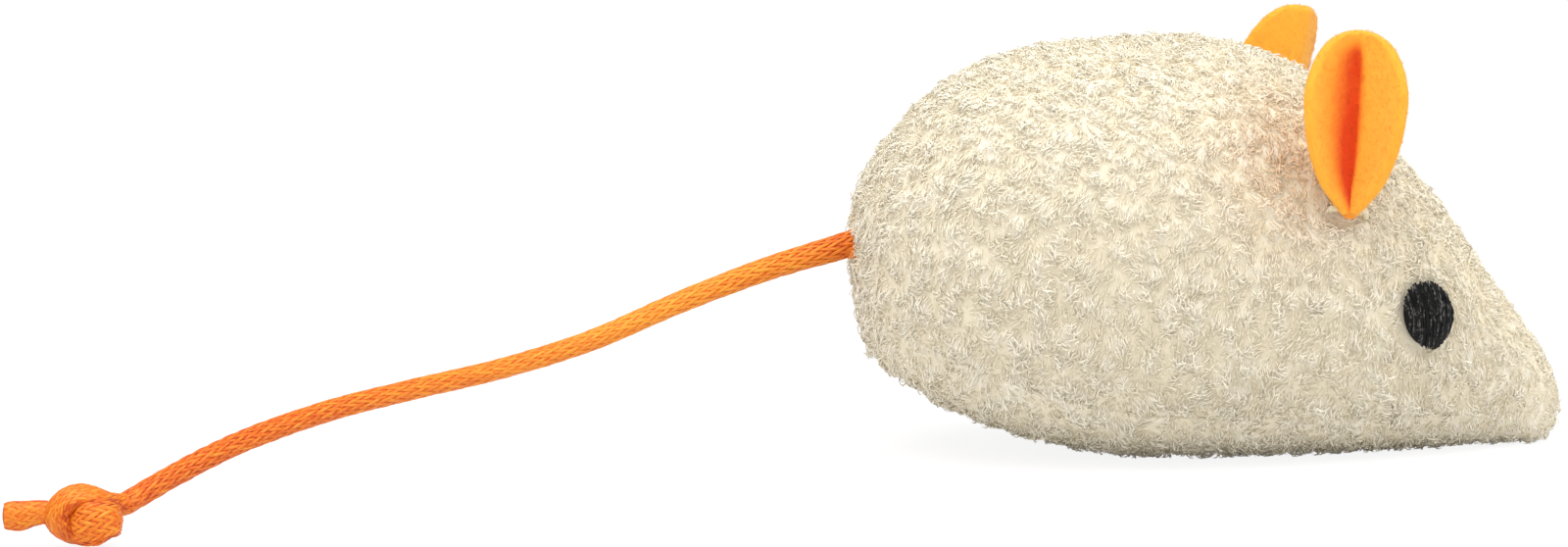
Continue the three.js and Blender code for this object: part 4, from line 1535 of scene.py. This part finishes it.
@dataclass
class FeltEar:
    """One ear: a leaf of felt folded lengthwise, open outward, gathered at its root."""

    side: Side
    body: BodyShape
    level: float
    lean: float
    splay: float
    turn: float
    height: float = 16.8
    width: float = 9.4
    felt: float = 1.15
    fold: float = 3.5
    along: float = 9.4
    lift: float = 0.6
    root_radius: float = 1.0
    crease_round: float = 0.12
    curl: float = 0.4
    # How far from the crease the painted shade of the fold reaches on the rear and front halves, and how much
    # painted shade the back and the root get
    shade_rear: float = 0.95
    shade_front: float = 0.3
    back_depth: float = -0.05
    root_depth: float = 0.35
    columns: int = 64
    rows: int = 72
    # Height, half breadth and depth of the fold, as shares of the ear's own
    outline_shares: tuple[tuple[float, float, float], ...] = (
        (0.0, 0.14, 0.25),
        (0.055, 0.3, 0.45),
        (0.18, 0.62, 0.72),
        (0.36, 0.86, 0.95),
        (0.5, 0.96, 1.0),
        (0.65, 1.0, 0.92),
        (0.77, 0.93, 0.76),
        (0.884, 0.76, 0.55),
        (0.95, 0.56, 0.38),
        (0.985, 0.34, 0.28),
        (1.0, 0.0, 0.24),
    )
    fuzz: Layer = Layer(
        name="fuzz",
        bow=((0, 0, 1), (0.12, 0.55, 0.8), (0.6, 0.85, 0)),
        length=0.5,
        radius=0.016,
        density=13,
        stray=1.1,
        tilt=0.8,
        draw=0.0,
        flow=2.0,
        comb=(0.0, 0.0, 0.1),
    )

    def matrix(self) -> Matrix:
        """The ear's own axes: across, inward and up."""
        point, outward = self.body.place(self.side, self.along, self.level)
        turn, splay = math.radians(self.turn), math.radians(self.splay)
        facing = Vector((-math.sin(turn), self.side.value * math.cos(turn), 0))
        up = Vector((0, 0, math.cos(splay))) + facing * math.sin(splay)
        inward = Vector((0, 0, math.sin(splay))) - facing * math.cos(splay)
        return own_axes(inward.cross(up), inward, up, point + outward * self.lift)

    def leaf(self) -> tuple[np.ndarray, list[tuple[int, ...]], np.ndarray]:
        """The felt's points, faces and how much painted shade of the fold each point gets, in the ear's own
        axes.
        """
        table = np.array(self.outline_shares)
        heights = np.sin(np.linspace(0, math.pi / 2, self.rows + 1)) ** 1.15
        shares = np.sin(np.linspace(-math.pi / 2, math.pi / 2, self.columns + 1))
        # Rows bunch at the tip, where the breadth falls as a circle's does
        last = table[-2, 0]
        tip = np.sqrt(np.clip((1 - heights) / (1 - last), 0, 1))
        halves = monotone(table[:-1, 0], table[:-1, 1], np.minimum(heights, last)) * tip * self.width / 2
        folds = monotone(table[:, 0], table[:, 2], heights) * tip * self.fold
        aside = np.abs(shares)
        # Painted shade of the fold: deepest at the crease, fading out towards the rims
        reach = np.where(shares * self.side.value > 0, self.shade_rear, self.shade_front)
        deep = 1 - smoothstep(aside, 0.12 * reach, reach)
        grid = np.zeros((2, self.rows + 1, self.columns + 1, 3))
        depth = np.full(grid.shape[:3], self.back_depth)
        for row, (up, half, fold) in enumerate(zip(heights, halves, folds)):
            crease = self.crease_round * (0.4 + 0.6 * up)
            profile = (np.hypot(shares, crease) - crease) / (math.hypot(1, crease) - crease)
            x = half * shares
            y = self.curl * np.sin(math.pi * aside) * math.sin(math.pi * min(up * 1.05, 1)) - fold * profile
            z = up * self.height - 0.5 * aside * (1 - up) ** 2
            slope = np.gradient(y, x) if half > 0.05 else np.zeros_like(x)
            rim = np.minimum((1 - aside) * half, min((1 - up) * self.height * 0.9, up * self.height + 0.3))
            body = self.felt / 2 * np.sqrt(1 - (1 - np.clip(rim / (self.felt * 0.5), 0, 1)) ** 2)
            out = body / np.hypot(slope, 1)
            grid[0, row] = np.stack([x + slope * out, y - out, z], -1)
            grid[1, row] = np.stack([x - slope * out, y + out, z], -1)
            # The fold's painted shade fades out at the tip and is a little stronger low down
            paler = (1 - smoothstep(up, 0.86, 1.0)) * (0.85 + 0.25 * (1 - smoothstep(up, 0.2, 0.7)))
            depth[0, row] = deep * paler
        lean = math.radians(-self.side.value * self.lean)
        cosine, sine = math.cos(lean), math.sin(lean)
        x, y, z = grid.reshape(-1, 3).T
        points = np.stack([x * cosine + z * sine, y, z * cosine - x * sine], -1)
        # Two sheets, sewn along the border from the tip down one side, over the root and up the other
        wide = self.columns + 1
        size = (self.rows + 1) * wide
        corners = (row * wide + column for row in range(self.rows) for column in range(self.columns))
        faces = [(corner, corner + 1, corner + wide + 1, corner + wide) for corner in corners]
        faces += [tuple(size + at for at in quad[::-1]) for quad in faces]
        down, up = range(self.rows * wide, -1, -wide), range(wide + self.columns, size, wide)
        border = [*down, *range(1, wide), *up]
        faces += [(far, near, near + size, far + size) for near, far in zip(border, border[1:])]
        return points, faces, depth.ravel()

    def build(self) -> None:
        """Makes the ear with its gathered root and its fuzz."""
        points, faces, depth = self.leaf()
        name = f"{self.side.label}_ear"
        leaf = mesh_object(f"{name}_felt", points, faces)
        store(leaf, "depth", depth)
        built = bmesh.new()
        built.from_mesh(leaf.data)
        shade = built.verts.layers.float["depth"]
        radius, squash = self.root_radius * MM, Matrix.Diagonal((0.95, 0.85, 1.0, 1.0))
        lump = bmesh.ops.create_uvsphere(built, u_segments=24, v_segments=14, radius=radius, matrix=squash)
        # The root lump gets painted shade
        for vertex in lump["verts"]:
            vertex[shade] = self.root_depth
        bmesh.ops.remove_doubles(built, verts=built.verts, dist=0.004 * MM)
        bmesh.ops.recalc_face_normals(built, faces=built.faces)
        built.to_mesh(leaf.data)
        built.free()
        settle(leaf.data, self.matrix())
        finish = OrangeFelt().material()
        leaf.data.materials.append(finish)
        store(leaf, "growth", np.ones(len(leaf.data.vertices)))
        store(leaf, "outer", np.ones(len(leaf.data.polygons)), "FACE")
        whole, seed = (-40, 40), 101 + self.side.value
        fuzz = self.fuzz.plant(pile_recipe(), f"{name}_fuzz", leaf, finish, whole, 0.0, seed)
        for piece in (leaf, fuzz):
            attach(piece, name)
        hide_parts(name)
        log_triangles(leaf, fuzz)


# The stitched eyes


def stitch_recipe() -> Recipe:
    """A tree that lays satin stitches side by side over an egg-shaped crown."""
    sizes = "Half Width, Half Height, Thread, Crown, Slant, Egg, Scatter, Shortest, Longest, Lift"
    made = Recipe("satin_stitch", {"Int": "Count, Seed", "Float": sizes})
    put, size, math_ = made.put, made.size, made.math
    rack = put("GeometryNodeMeshLine", {"Count": size("Count"), "Offset": (0, 0, 0)})
    bar = put("GeometryNodeCurvePrimitiveLine", {"Start": (0, -1, 0), "End": (0, 1, 0)})
    fine = put("GeometryNodeResampleCurve", {"Curve": bar, "Count": 12})
    # Each stitch's place across, its reach within the oval and how far it slides along that
    step = put("GeometryNodeInputIndex") / (size("Count") - 1.0)
    strayed = step * 1.92 - 0.96 + made.random(-1.0, 1.0, 1) * size("Scatter")
    room = math_("SQRT", math_("MAXIMUM", 1.0 - strayed * strayed, 0.02)) * size("Half Height")
    reach = room * made.random(size("Shortest"), size("Longest"), 2)
    slid = math_("MAXIMUM", room - reach, 0.0) * made.random(-1.0, 1.0, 3)
    at = made.xyz(strayed * size("Half Width"), slid, 0.0)
    placed = put("GeometryNodeSetPosition", {"Geometry": rack, "Position": at})
    stitches = made.stand(placed, fine, Scale=made.xyz(1.0, reach, 1.0))
    toned = made.keep(stitches, "tone", made.random(0.0, 1.0, 4), "INSTANCE")
    loose = put("GeometryNodeRealizeInstances", {0: toned})
    # The crown lifts them, each arches a little, and the whole slants and narrows below
    place = put("GeometryNodeInputPosition")
    x, y, _ = made.apart(place)
    wide, high = x / size("Half Width"), y / size("Half Height")
    fall = math_("MAXIMUM", 1.08 - (wide * wide + high * high), -0.3)
    arch = math_("SINE", put("GeometryNodeSplineParameter").out("Factor") * math.pi)
    uneven = made.named("tone") * (0.09 * MM) + size("Lift")
    rise = arch * (0.2 * MM) + (fall * size("Crown") + uneven)
    shake = (made.noise(place, 700.0, 1.0) - 0.5) * (0.18 * MM)
    aside = y * size("Slant") + shake + x * high * size("Egg")
    lifted = put("GeometryNodeSetPosition", {"Geometry": loose, "Offset": made.xyz(aside, 0.0, rise)})
    made.close(made.sweep(lifted, made.circle(7, size("Thread"))))
    return made


@dataclass
class StitchedEye:
    """One eye: an egg-shaped patch of satin stitch over a low crown."""

    side: Side
    body: BodyShape
    width: float = 5.9
    height: float = 6.1
    along: float = 18.2
    level: float = 14.3
    tilt: float = 6.0
    slant: float = 0.16
    egg: float = 0.13
    sink: float = 0.45
    crown: float = 0.5
    thread: float = 0.085
    # The solid core under the stitches: its share of the eye's size and of the crown, and how far it is sunk
    core: float = 0.96
    core_rise: float = 0.9
    core_drop: float = 0.12
    # Count, scatter, shortest, longest and lift of the stitches below and of the short ones on top
    stitch_layers: tuple[tuple[int, float, float, float, float], ...] = (
        (60, 0.03, 0.93, 1.07, -0.14),
        (90, 0.1, 0.25, 0.55, -0.06),
    )

    def matrix(self) -> Matrix:
        """The eye's own axes: forward or back, up and outward."""
        point, outward = self.body.place(self.side, self.along, self.level)
        across = Vector((0, 0, 1)).cross(outward).normalized()
        matrix = own_axes(across, outward.cross(across), outward, point)
        return matrix @ Matrix.Rotation(math.radians(self.side.value * self.tilt), 4, "Z")

    def build(self, recipe: Recipe) -> None:
        """Makes the crown and two layers of stitches, as one piece.

        Args:
            recipe: The tree that lays the stitches.
        """
        finish = BlackStitch().material()
        half_width, half_height = self.width / 2 * MM, self.height / 2 * MM
        built = bmesh.new()
        tone = built.verts.layers.float.new("tone")
        for number, (count, scatter, shortest, longest, lift) in enumerate(self.stitch_layers):
            layer = recipe.make(
                f"eye_layer_{number}",
                None,
                finish,
                Count=count,
                Half_Width=half_width,
                Half_Height=half_height,
                Thread=self.thread * MM,
                Crown=self.crown * MM,
                Slant=self.slant * self.side.value,
                Egg=self.egg,
                Scatter=scatter,
                Shortest=shortest,
                Longest=longest,
                Lift=lift * MM,
                Seed=5 + number + self.side.value,
            )
            built.from_mesh(layer.data)
            bpy.data.objects.remove(layer)
        crown = bmesh.ops.create_uvsphere(built, u_segments=40, v_segments=16, radius=1.0)
        for vertex in crown["verts"]:
            x, y, z = vertex.co
            rise = -self.sink * min(1, -z * 3) if z < 0 else z * self.crown * self.core_rise
            wide, high = x * half_width * self.core, y * half_height * self.core
            vertex.co = (wide * (1 + self.egg * y), high, (rise - self.core_drop) * MM)
            vertex[tone] = 0.0
        mesh = bpy.data.meshes.new(f"{self.side.label}_eye_stitches")
        built.to_mesh(mesh)
        built.free()
        mesh.materials.append(finish)
        settle(mesh, self.matrix())
        eye = link(mesh.name, mesh)
        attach(eye, "mouse")
        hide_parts(f"{self.side.label}_eye")
        log_triangles(eye)


# What the skin hides


@dataclass
class InnerParts:
    """Threads, filling, sachet, catnip and the tail's sewn end, as the frame has them."""

    nodes: dict[str, bpy.types.Object]
    # Each finish, with how the names of the nodes that have it end
    finishes: tuple[tuple[PlainFibre, tuple[str, ...]], ...] = (
        (PlainFibre("spun_thread", "#d8cba6", "#f1e8cf", 0.15, 0.7), ("_thread", "_stitch", "_tack")),
        (PlainFibre("polyester_wadding", "#dedbd0", "#fbfaf5", 0.4, 1.0), ("_filling", "_backing")),
        (PlainFibre("sachet_nonwoven", "#e4e1d5", "#faf8f1", 0.2, 0.95), ("_sheet",)),
        (PlainFibre("dried_catnip", "#4e5a2a", "#98a262", 0.5, 1.0), ("_catnip",)),
        (PlainFibre("cord_inside", "#e4601a", "#ffae52", 0.15, 0.5), ("_anchor",)),
    )

    def dress(self) -> None:
        """Gives each carried-over node its finish."""
        for fibre, endings in self.finishes:
            finish = fibre.material()
            for name, node in self.nodes.items():
                if name.endswith(endings):
                    node.data.materials.clear()
                    node.data.materials.append(finish)


def main() -> None:
    """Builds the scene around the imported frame."""
    logging.basicConfig(level=logging.INFO, format="%(name)s: %(message)s")
    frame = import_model()
    studio = Studio()
    studio.set_camera()
    CordTail().build()
    body = BodyShape()
    ears = [
        FeltEar(Side.RIGHT, body, level=24.6, lean=2.6, splay=1, turn=14, along=9.8),
        FeltEar(Side.LEFT, body, level=24.0, lean=13, splay=-3, turn=34),
    ]
    eyes = [StitchedEye(side, body) for side in Side]
    bare = [(eye.matrix(), eye.width / 2, eye.height / 2) for eye in eyes]
    # Each ear's painted reflection on the pile: a spot beside it, its reach and its strength
    glow = [(ear.matrix().translation + Vector((-4.5, 0, 5.0)), 7.0, 0.6) for ear in ears]
    PlushSkin(body, bare, glow).build()
    for ear in ears:
        ear.build()
    stitches = stitch_recipe()
    for eye in eyes:
        eye.build(stitches)
    InnerParts(frame["nodes"]).dress()
    studio.light()


if __name__ == "__main__":
    main()
